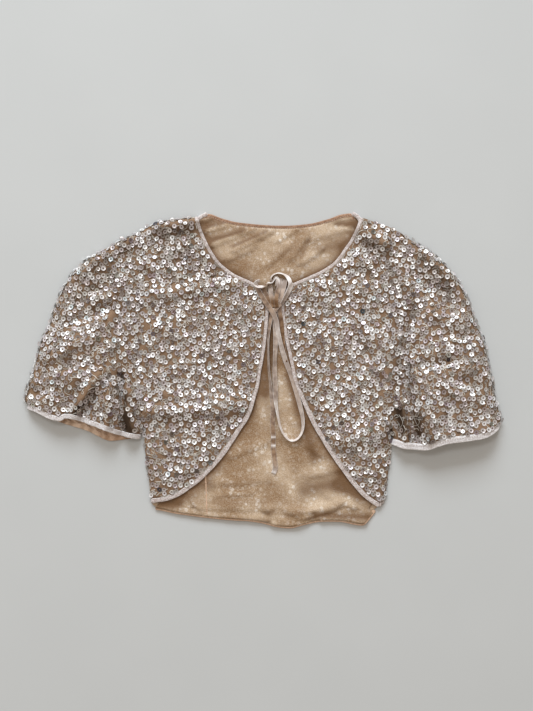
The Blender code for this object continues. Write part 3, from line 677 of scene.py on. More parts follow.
BACK_NECK = ((-91, 219), (-74, 222), (-57, 216), (-38, 211), (-14, 208), (14, 206),
             (43, 206), (71, 209), (94, 215), (111, 221), (126, 223), (139, 218))
BACK_SIDE = {
    "left": ((-168, -82), (-165, -120), (-160, -155), (-156, -197)),
    "right": ((183, -84), (183, -115), (179, -143), (175, -167), (163, -199)),
}
BACK_HEM = ((-156, -197), (-142, -199), (-124, -203), (-88, -208), (-51, -212), (-10, -215),
            (20, -222), (40, -224), (57, -220), (82, -215), (111, -215), (132, -219),
            (144, -220), (152, -212), (163, -199))


def length_of(rows):
    """Length of a row of points in whole millimetres."""
    return round(travelled(np.array(rows, dtype=float))[-1])


print("front edges in mm:", {side: length_of(rows) for side, rows in FRONT_EDGE.items()})
print("neck and hem in mm:", length_of(BACK_NECK), length_of(BACK_HEM))

# %% [markdown]
# ## Folds and their shade
# The folds are soft ridges and troughs along short lines, placed where the light and
# dark bands lie. Each row is the two ends of a line in plan, a width and a height in
# millimetres, and a height below 0 is a trough. Cloth this sparkly hides most of its shading,
# so bands of painted shade of the same kind also tone net, sequins, threads and tapes. Their
# last number is a share of shade instead of a height, and one below 0 makes the band paler,
# which is painted light.

# %% Folds: x, y of both ends, width and height
BODY_FOLDS = (
    (-173, 100, -17, 128, 9, 1.9), (-159, -58, -14, -48, 11, 3.0),
    (-150, 160, -112, 178, 12, 1.5), (-120, 70, -60, 92, 14, 0.9), (60, 118, 160, 112, 13, 1.7),
    (-150, 202, -98, 209, 9, 4.2), (126, 206, 172, 178, 10, 4.2), (-162, 196, -166, 150, 6, 1.8),
    (172, 190, 184, 150, 6, 1.8), (-140, -34, -20, -42, 6, 1.6), (118, -102, 172, -82, 12, 3.0),
    (40, 142, 150, 150, 7, 1.6), (-160, 112, -10, 124, 5, 0.6), (20, -20, 60, -46, 5, 0.8),
    (126, -26, 160, 6, 12, 1.4), (150, 52, 170, 34, 14, 2.2), (84, 40, 130, 62, 15, 0.9),
    (150, -120, 168, -60, 13, 1.2),
    (-165, 148, -118, 134, 6, 0.9), (-150, 62, -108, 46, 7, 1.1), (-95, 18, -40, 32, 8, 0.9),
    (-144, -6, -98, 10, 7, 0.8), (-84, -92, -60, -62, 7, 1.0), (-152, -120, -118, -104, 8, 1.1),
    (-132, -150, -98, -138, 7, 0.9), (-60, 102, -28, 88, 6, 0.7), (122, 166, 150, 142, 6, 0.9),
    (70, 104, 112, 94, 7, 0.8), (150, 12, 176, -6, 6, 1.1), (88, -18, 122, -36, 8, 0.9),
    (104, -96, 136, -84, 7, 0.9), (150, -152, 166, -130, 6, 0.8),
    (58, 72, 86, 50, 7, 0.7),
)
LINING_FOLDS = (
    (-80, 197, -42, 209, 7, 2.2), (-72, 177, -12, 200, 6, 2.4), (-38, 170, 14, 197, 7, 2.2),
    (-50, 156, -14, 172, 7, 1.8), (44, 160, 64, 190, 8, 1.7), (72, 186, 122, 202, 10, 1.6),
    (90, 209, 128, 218, 7, 2.2), (-92, 212, -66, 218, 9, 3.6), (10, 150, 40, 176, 6, 1.4),
    (24, 184, 50, 200, 5, 1.4), (58, 152, 86, 172, 7, 2.0), (-150, -201, -60, -208, 6, 1.8),
    (-50, -211, 6, -213, 7, 2.4), (18, -219, 60, -219, 7, 2.8), (84, -212, 148, -216, 6, 2.4),
    (-91, -194, 9, -196, 10, 2.2), (9, -196, 60, -208, 8, 1.8), (48, -202, 108, -190, 9, 2.4),
    (-70, -160, -10, -158, 10, 1.8), (56, -210, 104, -196, 7, 2.2), (66, -150, 110, -140, 9, 1.8),
    (-66, -178, -14, -174, 6, 1.3), (2, -198, 28, -212, 6, 1.8), (-44, -122, 4, -104, 9, 1.6),
    (30, -196, 70, -200, 6, 1.4), (92, -178, 130, -194, 7, 1.8), (38, -118, 40, -206, 9, 1.2),
    (-2, -30, -2, -180, 8, 0.9), (-104, -176, -88, -200, 7, 1.4), (60, -104, 84, -120, 7, 1.2),
)
SLEEVE_FOLDS = {
    "left": (
        (-266, -60, -224, -2, 6, 4.5), (-258, -72, -214, -12, 5, -4.5),
        (-305, -50, -262, -10, 13, 2.5), (-213, -20, -218, -84, 6, 6.5),
        (-198, -8, -196, -96, 5, -9.0), (-184, -30, -184, -90, 5, 4.5),
        (-276, 120, -236, 154, 7, 6.0), (-236, 154, -182, 188, 7, 5.5),
        (-262, 92, -224, 124, 12, -2.5), (-222, 132, -172, 162, 12, -2.0),
        (-274, 66, -214, 88, 8, -4.0), (-308, 16, -240, 46, 9, 4.0),
        (-304, -8, -246, 16, 9, -2.2), (-230, -70, -226, -30, 8, 2.5),
        (-236, 96, -196, 116, 6, 2.0), (-232, 20, -196, 44, 7, 1.8),
        (-326, -16, -284, -6, 7, 2.0), (-322, -32, -284, -26, 6, -2.4),
        (-206, 60, -188, 100, 7, -1.4),
    ),
    "right": (
        (212, 14, 236, -94, 7, 6.5), (199, -6, 214, -98, 7, -10.0), (194, -30, 202, -98, 4, 3.5),
        (189, -50, 194, -98, 4, -7.0), (288, 100, 264, 135, 7, 6.0), (264, 135, 202, 184, 7, 5.5),
        (262, 80, 240, 112, 12, -2.5), (236, 120, 198, 150, 12, -2.0),
        (206, 4, 262, 12, 8, -4.0), (250, -92, 320, -86, 8, 3.0), (240, -96, 236, -40, 8, 2.0),
        (238, 78, 272, 70, 9, 3.5), (304, 46, 264, 50, 8, -3.5), (222, 60, 206, 28, 6, 2.5),
        (286, 6, 318, -8, 7, 2.5), (282, -12, 316, -26, 6, -2.5), (262, -40, 258, -70, 6, -2.0),
        (206, 74, 222, 48, 7, -1.4), (250, -20, 290, -40, 7, 2.5),
    ),
}
print("folds:", len(BODY_FOLDS), len(LINING_FOLDS), [len(v) for v in SLEEVE_FOLDS.values()])

# %% Bands of shade: x, y of both ends, width and share
# Painted shade: each band deepens net, sequins, threads and tapes by its share, and one below 0 is
# painted light. The lining's two tables do the same on the lining.
SHADES = (
    (-84, 207, -190, 170, 8, 0.26), (-190, 170, -246, 132, 8, 0.32), (-246, 132, -284, 112, 7, 0.2),
    (116, 208, 158, 172, 10, 0.28), (158, 172, 182, 148, 9, 0.14), (228, 156, 268, 110, 8, 0.52),
    (184, 130, 212, 92, 8, 0.36), (212, 92, 196, 36, 8, 0.3), (196, 36, 192, -20, 7, 0.34),
    (193, -54, 197, -80, 8, 1.0), (217, -62, 220, -88, 6, 0.85), (-191, -34, -192, -78, 5, 0.7),
    (-189, -66, -184, -94, 7, 0.8), (-232, -26, -268, -70, 4, 0.55), (-148, -70, -36, -78, 8, 0.14),
    (-148, -188, -112, -178, 9, 0.05), (128, -108, 168, -152, 11, 0.05),
    (-206, 90, -202, -16, 7, 0.16),
    (-318, 22, -270, 38, 6, -0.25), (-262, 100, -212, 132, 8, 0.55), (-86, 200, -54, 150, 4, 0.34),
    (129, 196, 100, 154, 4, 0.24), (144, 0, 160, -18, 9, -0.2), (96, -44, 120, -64, 8, -0.2),
    (-186, 110, -20, 122, 4, -0.22), (158, 56, 182, 36, 13, -0.26), (104, -40, 158, -100, 10, -0.2),
    (-138, -44, -14, -52, 6, -0.26), (284, 8, 306, -20, 9, -0.14), (-300, 50, -250, 66, 5, -0.2),
    (-250, -70, -212, -88, 6, -0.2), (-256, -52, -272, -68, 5, 0.45),
    (-226, -40, -212, -70, 6, -0.25), (204, 142, 260, 113, 7, 0.35),
    (60, 120, 130, 130, 5, -0.16), (232, -50, 318, -52, 26, -0.14),
    (88, -118, 140, -150, 18, -0.08), (-122, 172, -72, 150, 16, 0.32),
    (-290, 76, -262, 88, 8, 0.14),
    (-214, -50, -208, -80, 6, -0.3), (124, -36, 138, -60, 8, -0.25),
    (-124, 210, -96, 212, 5, -0.35), (-240, 160, -206, 180, 5, -0.25),
    (140, 150, 176, 118, 6, 0.28),
    (256, -86, 296, -78, 8, 0.3), (-280, -72, -232, -76, 4, 0.35),
)
LINING_SHADES = (
    (-40, -110, -10, -146, 22, -0.24), (58, -76, 74, -124, 9, 0.75),
    (-106, -171, 96, -171, 6, -0.1), (-100, -186, 40, -188, 5, 0.16),
    (-78, -198, -5, -201, 5, -0.6), (76, -205, 150, -208, 6, 0.85),
    (60, -170, 112, -160, 12, 0.8), (108, -166, 138, -178, 8, 0.5),
    (-152, -194, -118, -190, 8, 0.5), (40, -100, 40, -212, 5, -0.14),
    (0, -30, 0, -180, 6, -0.1), (20, -50, 20, -140, 6, 0.1), (0, -184, 8, -156, 7, 0.2),
    (80, -192, 122, -186, 5, -0.4), (-60, -160, -14, -162, 8, -0.6),
    (22, -212, 54, -214, 6, -0.7), (20, -34, 26, -98, 6, 0.15),
    (-110, -207, 10, -213, 4, 0.3), (118, -150, 140, -172, 10, 0.45),
    (-120, -184, -68, -164, 9, 0.35), (-60, -138, -80, -160, 6, 0.25),
    (16, 90, 7, 36, 10, 1.0), (6, 36, 4, -30, 8, 0.9), (5, -30, 12, -70, 8, 0.35),
    (38, -6, 52, -60, 6, 0.75), (16, 30, 26, 10, 8, 0.3),
)
NECK_SHADES = (
    (-86, 201, -56, 208, 7, 0.85), (-78, 217, -44, 208, 3, 0.8), (-78, 182, -27, 197, 5.5, 0.95),
    (-42, 175, 6, 196, 4, 0.75), (-66, 176, -14, 197, 3, -0.5), (-74, 198, -40, 206, 3.5, -0.6),
    (-62, 152, -30, 138, 8, 0.1), (82, 172, 114, 176, 12, 0.5), (56, 160, 68, 186, 4, 0.35),
    (28, 166, 50, 170, 8, 0.25), (90, 209, 124, 219, 3, 0.9), (106, 206, 133, 206, 5, 0.85),
    (92, 203, 128, 199, 3, -0.4),
    (12, 160, 40, 150, 10, 0.12),
)
print("bands of shade:", len(SHADES), len(LINING_SHADES), len(NECK_SHADES))

# %% [markdown]
# ## How high each layer lies
# The back lies on the table, the lining on the back, the fronts on the lining. A front rolls
# down to the seam at the shoulder and at the side. Real cloth is never even, so a few waves
# with directions and lengths of their own add a slight unevenness everywhere. The lining's
# pleats lean over, so each is steeper on the side towards the hem.

# %% Heights
# Millimetres, but for shares. A wave is a seed, a size and a range of lengths.
LINING_TOP = 2.9
GAP = 0.3
FRONT_SEAT = 1.4
ROLL = 9.0
EDGE_TOP = 2.3
BASE_RISE = 1.8
FOLD_SHARE = 1.9
SEAM_PULL = 2.2
SEAM_REACH = 8.0
EDGE_REST = 0.4
EDGE_REACH = 24.0
RISE_SOFTNESS = 0.4
NECK_REST = 0.2
NECK_REACH = 11.0
FRONT_WAVE = (5, 0.8, 28.0, 70.0)
FRONT_RIPPLE = (17, 0.30, 10.0, 24.0)
LINING_CRUMPLE = (23, 0.35, 9.0, 22.0)
WAVES = 5
LEAN = (0.5, 1.2)
TURN_SHADE = 0.45
SHADE_RANGE = (-0.3, 0.92)


def smooth_step(value):
    """0 below 0, 1 above 1, and 3t^2 - 2t^3 between."""
    t = np.clip(value, 0.0, 1.0)
    return t * t * (3.0 - 2.0 * t)


def segment_distance(points, x0, y0, x1, y1):
    """Distance in plan from points to a segment, by the nearest share of its length."""
    x, y = points[..., 0], points[..., 1]
    dx, dy = x1 - x0, y1 - y0
    share = np.clip(((x - x0) * dx + (y - y0) * dy) / (dx * dx + dy * dy), 0.0, 1.0)
    return np.hypot(x - x0 - share * dx, y - y0 - share * dy)


def distance_to(points, lines):
    """Distance in plan to the nearest of the polylines."""
    return np.min([segment_distance(points, *a, *b) for line in lines
                   for a, b in zip(line[:-1], line[1:])], axis=0)


def folds_at(points, table, towards=1.0, beyond=1.0):
    """Each fold is height times e to the minus (distance / width) squared, summed. Its width
    is taken times one number on the side towards -Y and times the other beyond it."""
    x, y = points[..., 0], points[..., 1]
    total = 0.0
    for x0, y0, x1, y1, width, height in table:
        across = ((x - x0) * (y1 - y0) - (y - y0) * (x1 - x0)) * np.sign(x1 - x0)
        away = segment_distance(points, x0, y0, x1, y1)
        away = away / (np.where(across > 0.0, towards, beyond) * width)
        total = total + height * np.exp(-away ** 2)
    return total


def shade_of(points, ways):
    """Share of shade: the table's soft bands, and more on the sides that turn towards -Y."""
    turned = TURN_SHADE * np.clip(-ways[..., 1], 0.0, 0.6)
    return np.clip(folds_at(points, SHADES) + turned, *SHADE_RANGE)


def as_strip(shaded):
    """A share of shade as the strip attribute of its points."""
    return np.stack((shaded, 0.0 * shaded, 0.0 * shaded), axis=-1).reshape(-1, 3)


def unevenness(points, seed, size, shortest, longest):
    """Sine waves of lengths in millimetres, each in its own direction, averaged."""
    rng = np.random.default_rng(seed)
    turns = rng.uniform(0.0, 2.0 * np.pi, (WAVES, 2))
    lengths = rng.uniform(shortest, longest, WAVES)
    x, y = points[..., 0], points[..., 1]
    return size * sum(np.sin(2.0 * np.pi * (x * np.cos(a) + y * np.sin(a)) / w + b)
                      for (a, b), w in zip(turns, lengths)) / WAVES


def lining_top(points):
    """Upper side of the lining: flat, with pleats and a fine crumple."""
    crumple = unevenness(points, *LINING_CRUMPLE)
    away = smooth_step(distance_to(points, (BACK_NECK,)) / NECK_REACH)
    off_seam = NECK_REST + (1.0 - NECK_REST) * away
    pleats = folds_at(points, LINING_FOLDS, *LEAN) * off_seam
    return LINING_TOP + np.maximum(pleats + crumple + 0.1, 0.0)


def front_top(points, side):
    """Upper side of a front: lifted off the lining, less at its seams, rolled down at them."""
    lift = BASE_RISE + FOLD_SHARE * folds_at(points, BODY_FOLDS)
    lift = lift + unevenness(points, *FRONT_WAVE) + unevenness(points, *FRONT_RIPPLE)
    lift = lift - SEAM_PULL * np.exp(-(distance_to(points, (ARMHOLE[side],)) / SEAM_REACH) ** 2)
    away = smooth_step(distance_to(points, (FRONT_EDGE[side],)) / EDGE_REACH)
    lift = lift * (EDGE_REST + (1.0 - EDGE_REST) * away)
    lift = 0.5 * (lift + np.sqrt(lift * lift + RISE_SOFTNESS ** 2))
    flat = lining_top(points) + GAP + FRONT_SEAT + lift
    edges = (SHOULDER[side], SLEEVE_TOP[side], SIDE[side])
    share = np.clip(distance_to(points, edges) / ROLL, 0.0, 1.0)
    return EDGE_TOP + (flat - EDGE_TOP) * np.sqrt(1.0 - (1.0 - share) ** 2)


def grid_normals(grid, sign=1.0):
    """Unit normals of a grid: the cross product of its two differences, towards +Z or -Z."""
    found = unit(np.cross(np.gradient(grid, axis=1), np.gradient(grid, axis=0)) + 1e-9)
    return found * (1.0 if found[..., 2].mean() * sign > 0.0 else -1.0)


def patch(top, bottom, inner, outer):
    """Coons patch in plan: (1-v)T + vB + (1-u)I + uO, less the ruled sheet of the corners."""
    u = np.linspace(0.0, 1.0, len(top))[None, :, None]
    v = np.linspace(0.0, 1.0, len(inner))[:, None, None]
    corners = ((1.0 - v) * ((1.0 - u) * top[0] + u * top[-1])
               + v * ((1.0 - u) * bottom[0] + u * bottom[-1]))
    return ((1.0 - v) * top[None] + v * bottom[None] + (1.0 - u) * inner[:, None]
            + u * outer[:, None] - corners)


def read(grid, rows, columns):
    """Points of a grid at fractional rows and columns, mixed from the four nearest."""
    j = np.clip(rows.astype(int), 0, grid.shape[0] - 2)
    i = np.clip(columns.astype(int), 0, grid.shape[1] - 2)
    v = (rows - j)[..., None]
    u = (columns - i)[..., None]
    return ((grid[j, i] * (1.0 - u) + grid[j, i + 1] * u) * (1.0 - v)
            + (grid[j + 1, i] * (1.0 - u) + grid[j + 1, i + 1] * u) * v)


print("lining's and left front's height in mm:",
      [round(float(height), 2) for height in (lining_top(np.array((0.0, -60.0))),
                                              front_top(np.array((-60.0, 0.0)), "left"))])

# %% [markdown]
# ## Back, lining and fronts
# A panel is a patch in plan with its heights laid over it, and its wrong side one cloth's
# thickness below. The back has its sequins underneath, so its cloth lies about 1 mm up. The
# tapes are carried along the same edges, on the side away from the cloth. What is sewn to a
# sheet is put in a list under the sheet's name, for the end of the script.

# %% Plans of the fronts
SIDES = ("left", "right")
SEAM = 0.05
BINDING_WIDTH = 6.5
TAPE_NARROWER = 1.6
ARMHOLE_ROWS = 105
SIDE_ROWS = 35
FRONT_ACROSS = 60
HEM_CORNER_SHARE = 0.86
CORNER_TRIM = 4


def inward(side):
    """Side of a front's finished edges on which the cloth lies, seen along their travel."""
    return -1.0 if side == "left" else 1.0


def armhole_seam(side, away):
    """Points down the armhole from the shoulder, moved away from the seam towards +X."""
    return shifted(resample(curve(ARMHOLE[side], 300), ARMHOLE_ROWS + 1), away)


def tape_width(y):
    """A front's tape is turned a little above the waist, and looks narrower there."""
    return BINDING_WIDTH - TAPE_NARROWER * smooth_step((y + 70.0) / 60.0)


def front_plan(side):
    """A front's plan grid inside its tape, and the edge that the tape follows."""
    sign = inward(side)
    line = curve(FRONT_EDGE[side], 480)
    edge = shifted(line, (tape_width(line[:, 1:2]) + GAP) * sign)
    split = int(HEM_CORNER_SHARE * len(edge))
    inner = resample(edge[:split], ARMHOLE_ROWS + SIDE_ROWS + 1)
    side_seam = resample(curve(SIDE[side], 60)[2:], SIDE_ROWS)
    outer = np.vstack((armhole_seam(side, -SEAM * sign), side_seam))
    shoulder = curve(SHOULDER[side], 80)
    start = np.linalg.norm(shoulder - inner[0], axis=1).argmin() + CORNER_TRIM
    shoulder = np.vstack((inner[0], shoulder[start:-CORNER_TRIM], outer[0]))
    shoulder = resample(shoulder, FRONT_ACROSS + 1)
    hem = resample(np.vstack((edge[split - 1:-1], outer[-1])), FRONT_ACROSS + 1)
    return patch(shoulder, hem, inner, outer), np.vstack((inner, hem[1:]))


print("front grids:", {side: front_plan(side)[0].shape for side in SIDES})

# %% Closed shells and tapes
TAPE_CORNERS = 18
TAPE_TURN = 2.2
TAPE_END = 1.5


def two_sided(top, under, name, finishes, replaces, shaded, axis=1):
    """A closed shell whose under side runs back along an axis and takes the second finish."""
    def both(upper, lower):
        return np.concatenate((upper, np.flip(lower, axis)), axis)

    points, quads = loft(both(top, under)[None], closed=axis == 0)
    is_under = both(np.zeros(shaded.shape, bool), np.ones(shaded.shape, bool)).ravel()
    return make_piece(name, points, quads, finishes, replaces,
                      second=is_under[quads].all(axis=1), strip=as_strip(both(shaded, shaded)))


def blunt(wave, power):
    """A wave between -1 and 1 raised to a power, with its sign kept."""
    return np.sign(wave) * np.abs(wave) ** power


def lay_tape(name, path, outward, top, under, width, finish, replaces=(), shaded=0.0):
    """A tape's rounded section: a flattened superellipse across the edge, its ends drawn in."""
    angle = round_angles(TAPE_CORNERS) + np.pi / TAPE_CORNERS
    flat = blunt(np.cos(angle), 2.0 / (TAPE_TURN + 1.2))
    high = blunt(np.sin(angle), 2.0 / TAPE_TURN)
    length = travelled(path)
    ends = np.clip(np.minimum(length, length[-1] - length) / TAPE_END, 0.05, 1.0) ** 0.5
    pucker = 1.0 + 0.05 * np.sin(length * 0.9) + 0.04 * np.sin(length * 0.37 + 1.3)
    middle = 0.5 * (top + under)
    half = 0.5 * (top - under) * ends * pucker
    reach = 0.5 * width * (0.97 + 0.03 * np.sin(length * 0.23))
    across = flat[None] * (reach * ends)[:, None]
    rings = np.concatenate((path[:, None] + outward[:, None] * across[..., None],
                            (middle[:, None] + high[None] * half[:, None])[..., None]), axis=-1)
    points, quads = loft(rings[None])
    return make_piece(name, points, quads, [finish], replaces,
                      strip=strip_of(rings, length, across, shaded))

# %% Plans of the back and its lining
BACK_BINDING_WIDTH = 4.5
HEM_TURN = 24
SHOULDER_CELLS = 10
NECK_TRIM = 5
SHOULDER_TRIM = 10
CORNER_CLEAR = 4.0
HEM_CLEAR = 3.0


def back_edges(rows, across, over):
    """The back's neck, hem and side edges inside their tapes, and where its hem turns up."""
    bound = BACK_BINDING_WIDTH + GAP
    neck = resample(shifted(curve(BACK_NECK, 240), -bound)[NECK_TRIM:-NECK_TRIM], across + 1)
    line = shifted(curve(BACK_HEM, 320), bound - over)[4:-1]
    sides = {}
    for side, away, low in (("left", SEAM, line[:1]), ("right", -SEAM, line[:-HEM_TURN:-1])):
        seam = curve(BACK_SIDE[side], 60)[2:]
        seam = seam[seam[:, 1] > low[0, 1] + HEM_CLEAR]
        seam = resample(np.vstack((seam, low[:1])), SIDE_ROWS)
        sides[side] = resample(np.vstack((armhole_seam(side, away), seam, low[1:])), rows + 1)
    hem_points = across + 2 * SHOULDER_CELLS + 1
    hem = resample(line[:1 - HEM_TURN], hem_points)
    sides["right"][-1] = hem[-1]
    return neck, hem, sides, resample(line, hem_points)


def body_sheet(inset, rows, across, over=0.0):
    """Plan grid of the back, or of its lining: inset from the seams, laid over the hem roll."""
    neck, hem, sides, hem_line = back_edges(rows, across, over)
    edges = []
    for side, away, corner in (("left", inset, hem_line[0]), ("right", -inset, hem_line[-1])):
        line = shifted(sides[side], away)
        line[0] -= (0.0, inset)
        low = hem[0] if side == "left" else hem[-1]
        if inset:
            clear = (line[:, 1] < line[0, 1] - 1.0) & (line[:, 1] > corner[1] + 2.0)
            turned = sides[side][sides[side][:, 1] < corner[1] - 1.0]
            line = np.vstack((line[:1], line[clear], turned, low))
        edges.append(resample(line, rows + 1))
    shoulders = []
    for corner, end, row in ((edges[0][0], neck[0], SHOULDER["left"][::-1]),
                             (neck[-1], edges[1][0], SHOULDER["right"])):
        line = shifted(curve(row, 60), -inset)[SHOULDER_TRIM:-SHOULDER_TRIM]
        keep = ((np.linalg.norm(line - corner, axis=1) > CORNER_CLEAR)
                & (np.linalg.norm(line - end, axis=1) > CORNER_CLEAR))
        shoulders.append(resample(np.vstack((corner, line[keep], end)), SHOULDER_CELLS + 1))
    top = np.vstack((shoulders[0][:-1], neck, shoulders[1][1:]))
    return patch(top, hem, *edges), neck, hem_line

# %% Fronts with their tapes
WALL = 0.7
TAPE_OVERLAP = 0.1
TAPE_ABOVE = 0.6
TAPE_BELOW = 1.5
EDGE_POINTS = 420
STITCH_IN = 0.9
STITCH_LEVEL = 0.75
NECK_CORNER = {
    "left": ((-98, 201), (-94, 209), (-87, 217), (-77, 222)),
    "right": ((143, 203), (140, 211), (134.5, 218.5), (127, 222.5)),
}
CORNER_POINTS = 40
CORNER_TAPE_WIDTH = 6.2
CORNER_TOP = 6.4
CORNER_HEIGHT = 4.6
fronts = {}
sheets = {}
seams = {}
sewn = {name: [] for name in ("back", "lining", "front_left", "front_right", "sleeve_left",
                              "sleeve_right")}
for side in SIDES:
    name = "front_" + side
    plan, edge = front_plan(side)
    fronts[side] = np.dstack((plan, front_top(plan, side)))
    ways = grid_normals(fronts[side])
    sheets[name] = two_sided(fronts[side], fronts[side] - ways * WALL, "front_cloth_" + side,
                             [net, sleeve_lining], (name,),
                             shade_of(fronts[side], ways))
    edge = resample(edge, EDGE_POINTS)
    outward = normals(edge) * -inward(side)
    wide = tape_width(edge[:, 1])
    path = edge + outward * (0.5 * wide - TAPE_OVERLAP)[:, None]
    level = np.maximum(front_top(edge, side), front_top(path, side))
    shaded = np.clip(folds_at(path, SHADES), 0.0, 1.0)[:, None]
    corner = curve(NECK_CORNER[side], CORNER_POINTS)
    top = np.full(len(corner), CORNER_TOP)
    sewn[name] += [
        lay_tape("front_tape_" + side, path, outward, level + TAPE_ABOVE, level - TAPE_BELOW,
                 wide, tape, ("front_binding_" + side,), shaded),
        lay_tape("corner_tape_" + side, corner, normals(corner), top, top - CORNER_HEIGHT,
                 CORNER_TAPE_WIDTH, tape)]
    seams[name] = (edge + outward * STITCH_IN, outward, level + STITCH_LEVEL)
print("fronts in m2:", {side: round(area_of(grid), 4) for side, grid in fronts.items()})

# %% Back and lining with their tapes
BACK_TOP = 1.4
UNDER_REST = 0.95
LINING_WALL = 0.6
LINING_INSET = 9.0
HEM_COVER = 2.2
HEM_DROP = 0.4
SHADE_REACH = 7.0
TURNED_SHADE = 0.8
BASE_SHADE = 0.07
NECK_RISE = 0.15
CORNER_WIDER = 4.6
CORNER_REACH = (22.0, 26.0)
LINING_SEAM = ((-80.0, -146.0), (-79.0, -176.0), (-78.0, -204.0))
LINING_SEAM_WIDTH = 2.0
back_plan, neck, hem = body_sheet(0.0, 80, 70)
back = np.dstack((back_plan, np.full(back_plan.shape[:2], UNDER_REST)))
sheets["back"] = two_sided(back + (0.0, 0.0, BACK_TOP - UNDER_REST), back, "back_cloth",
                           [lining, net], ("back",), 0.0 * back[..., 0])
lining_plan, _, _ = body_sheet(LINING_INSET, 140, 108, HEM_COVER)
lining_sheet = np.dstack((lining_plan, lining_top(lining_plan)))
in_shade = sum(np.exp(-distance_to(lining_plan, (row,)) / SHADE_REACH)
               for row in FRONT_EDGE.values())
in_shade = in_shade + TURNED_SHADE * np.clip(-grid_normals(lining_sheet)[..., 1], 0.0, 0.7)
in_shade = in_shade + BASE_SHADE + folds_at(lining_plan, LINING_SHADES)
in_shade = in_shade + folds_at(lining_plan, NECK_SHADES, *LEAN)
sheets["lining"] = two_sided(lining_sheet, lining_sheet - (0.0, 0.0, LINING_WALL),
                             "lining_cloth", [lining, lining], ("back_lining",),
                             np.clip(in_shade, 0.0, 1.0))
for name, edge, finish, slot, sign, drop in (
        ("neck", neck, facing, "neck_facing", 1.0, -NECK_RISE),
        ("hem", hem, hem_cloth, "lining", -1.0, HEM_DROP)):
    edge = resample(edge, 260)
    outward = normals(edge) * sign
    length = travelled(edge)
    turned = sum(np.exp(-(run / reach) ** 2)
                 for run, reach in zip((length, length[-1] - length), CORNER_REACH))
    wider = (CORNER_WIDER if name == "neck" else 0.0) * turned
    path = edge + outward * (0.5 * BACK_BINDING_WIDTH - 0.2 - 0.5 * wider)[:, None]
    level = lining_top(path) - drop
    sewn["lining"].append(lay_tape(name + "_roll", path, outward, level, np.full(len(path), 0.5),
                                   BACK_BINDING_WIDTH + 0.8 + wider, finish,
                                   (name + "_binding_back",)))
    if name == "neck":
        seams[name] = (edge + outward * 0.6, outward, level + 0.05)
path = resample(np.array(LINING_SEAM), 60)
level = lining_top(path)
sewn["lining"].append(lay_tape("lining_seam", path, normals(path), level + 0.15, level - 0.5,
                               LINING_SEAM_WIDTH, hem_cloth))
print("back and lining in m2:", round(area_of(back), 4), round(area_of(lining_sheet), 4))

# %% [markdown]
# ## The sleeves
# A sleeve is a tube lying flat: its lower half rests on the table and its upper half stands
# up in a soft puff. Its section is worked out at each step from armhole to hem. The height
# is the body's, plus a blunt dome, plus the folds, and both folded edges are rounded. The
# wall is the surface moved inwards along its normals, and the tube is closed by lofting out
# along its outside and back along its inside.

# %% Sleeve tubes
PUFF = {"left": (18.0, 12.0), "right": (19.0, 17.0)}
PUFF_REACH = 0.6
PUFF_BLUNTNESS = 2.6
SLEEVE_FOLD_SHARE = 1.35
SLEEVE_WAVE = (9, 1.2, 28.0, 70.0)
SLEEVE_MIN_HEIGHT = 4.6
SEAM_RAMP = 0.14
EDGE_ROUND = 6.0
SLEEVE_ROWS = 84
UNDER_CELLS = 60
OVER_CELLS = 110
FOLD_RADIUS = 2.3
PLAN_POINTS = 61
SLEEVE_TAPE = {"left": (6.8, 3.2), "right": (9.2, 2.2)}
SLEEVE_TAPE_CORNERS = 16
SLEEVE_TAPE_OUT = 0.4
SLEEVE_STITCH_LEVEL = 1.5


def puff_at(across, along, side):
    """Dome over the section: height times the root of 1 - |2u - 1| to the bluntness."""
    widest, at_hem = PUFF[side]
    rise = np.sin(0.5 * np.pi * np.clip(along / PUFF_REACH, 0.0, 1.0))
    late = smooth_step((along - PUFF_REACH) / (1.0 - PUFF_REACH))
    edge = np.clip(1.0 - np.abs(2.0 * across - 1.0) ** PUFF_BLUNTNESS, 0.0, 1.0)
    return rise * (widest + (at_hem - widest) * late) * np.sqrt(edge)


def sleeve_plans(side):
    """Plan grids of the upper and lower half, from armhole to hem and underarm to top."""
    sign = inward(side)
    armhole = armhole_seam(side, SEAM * sign)[::-1]
    outer = curve(SLEEVE_TOP[side], 200)
    grids = []
    for table in (SLEEVE_HEM[side], SLEEVE_HEM_UNDER[side]):
        bound = shifted(curve(table, 200), (BINDING_WIDTH + GAP) * sign)[4:-6]
        away = np.linalg.norm(outer - bound[-1], axis=1)
        keep = (away > 3.0) & (np.arange(len(outer)) < away.argmin())
        top = np.vstack((outer[keep], bound[-1]))
        top[0] = armhole[-1]
        inner = np.vstack((armhole[0], bound[0]))
        grids.append(patch(*(resample(line, PLAN_POINTS) for line in (armhole, bound, inner, top))))
    return grids


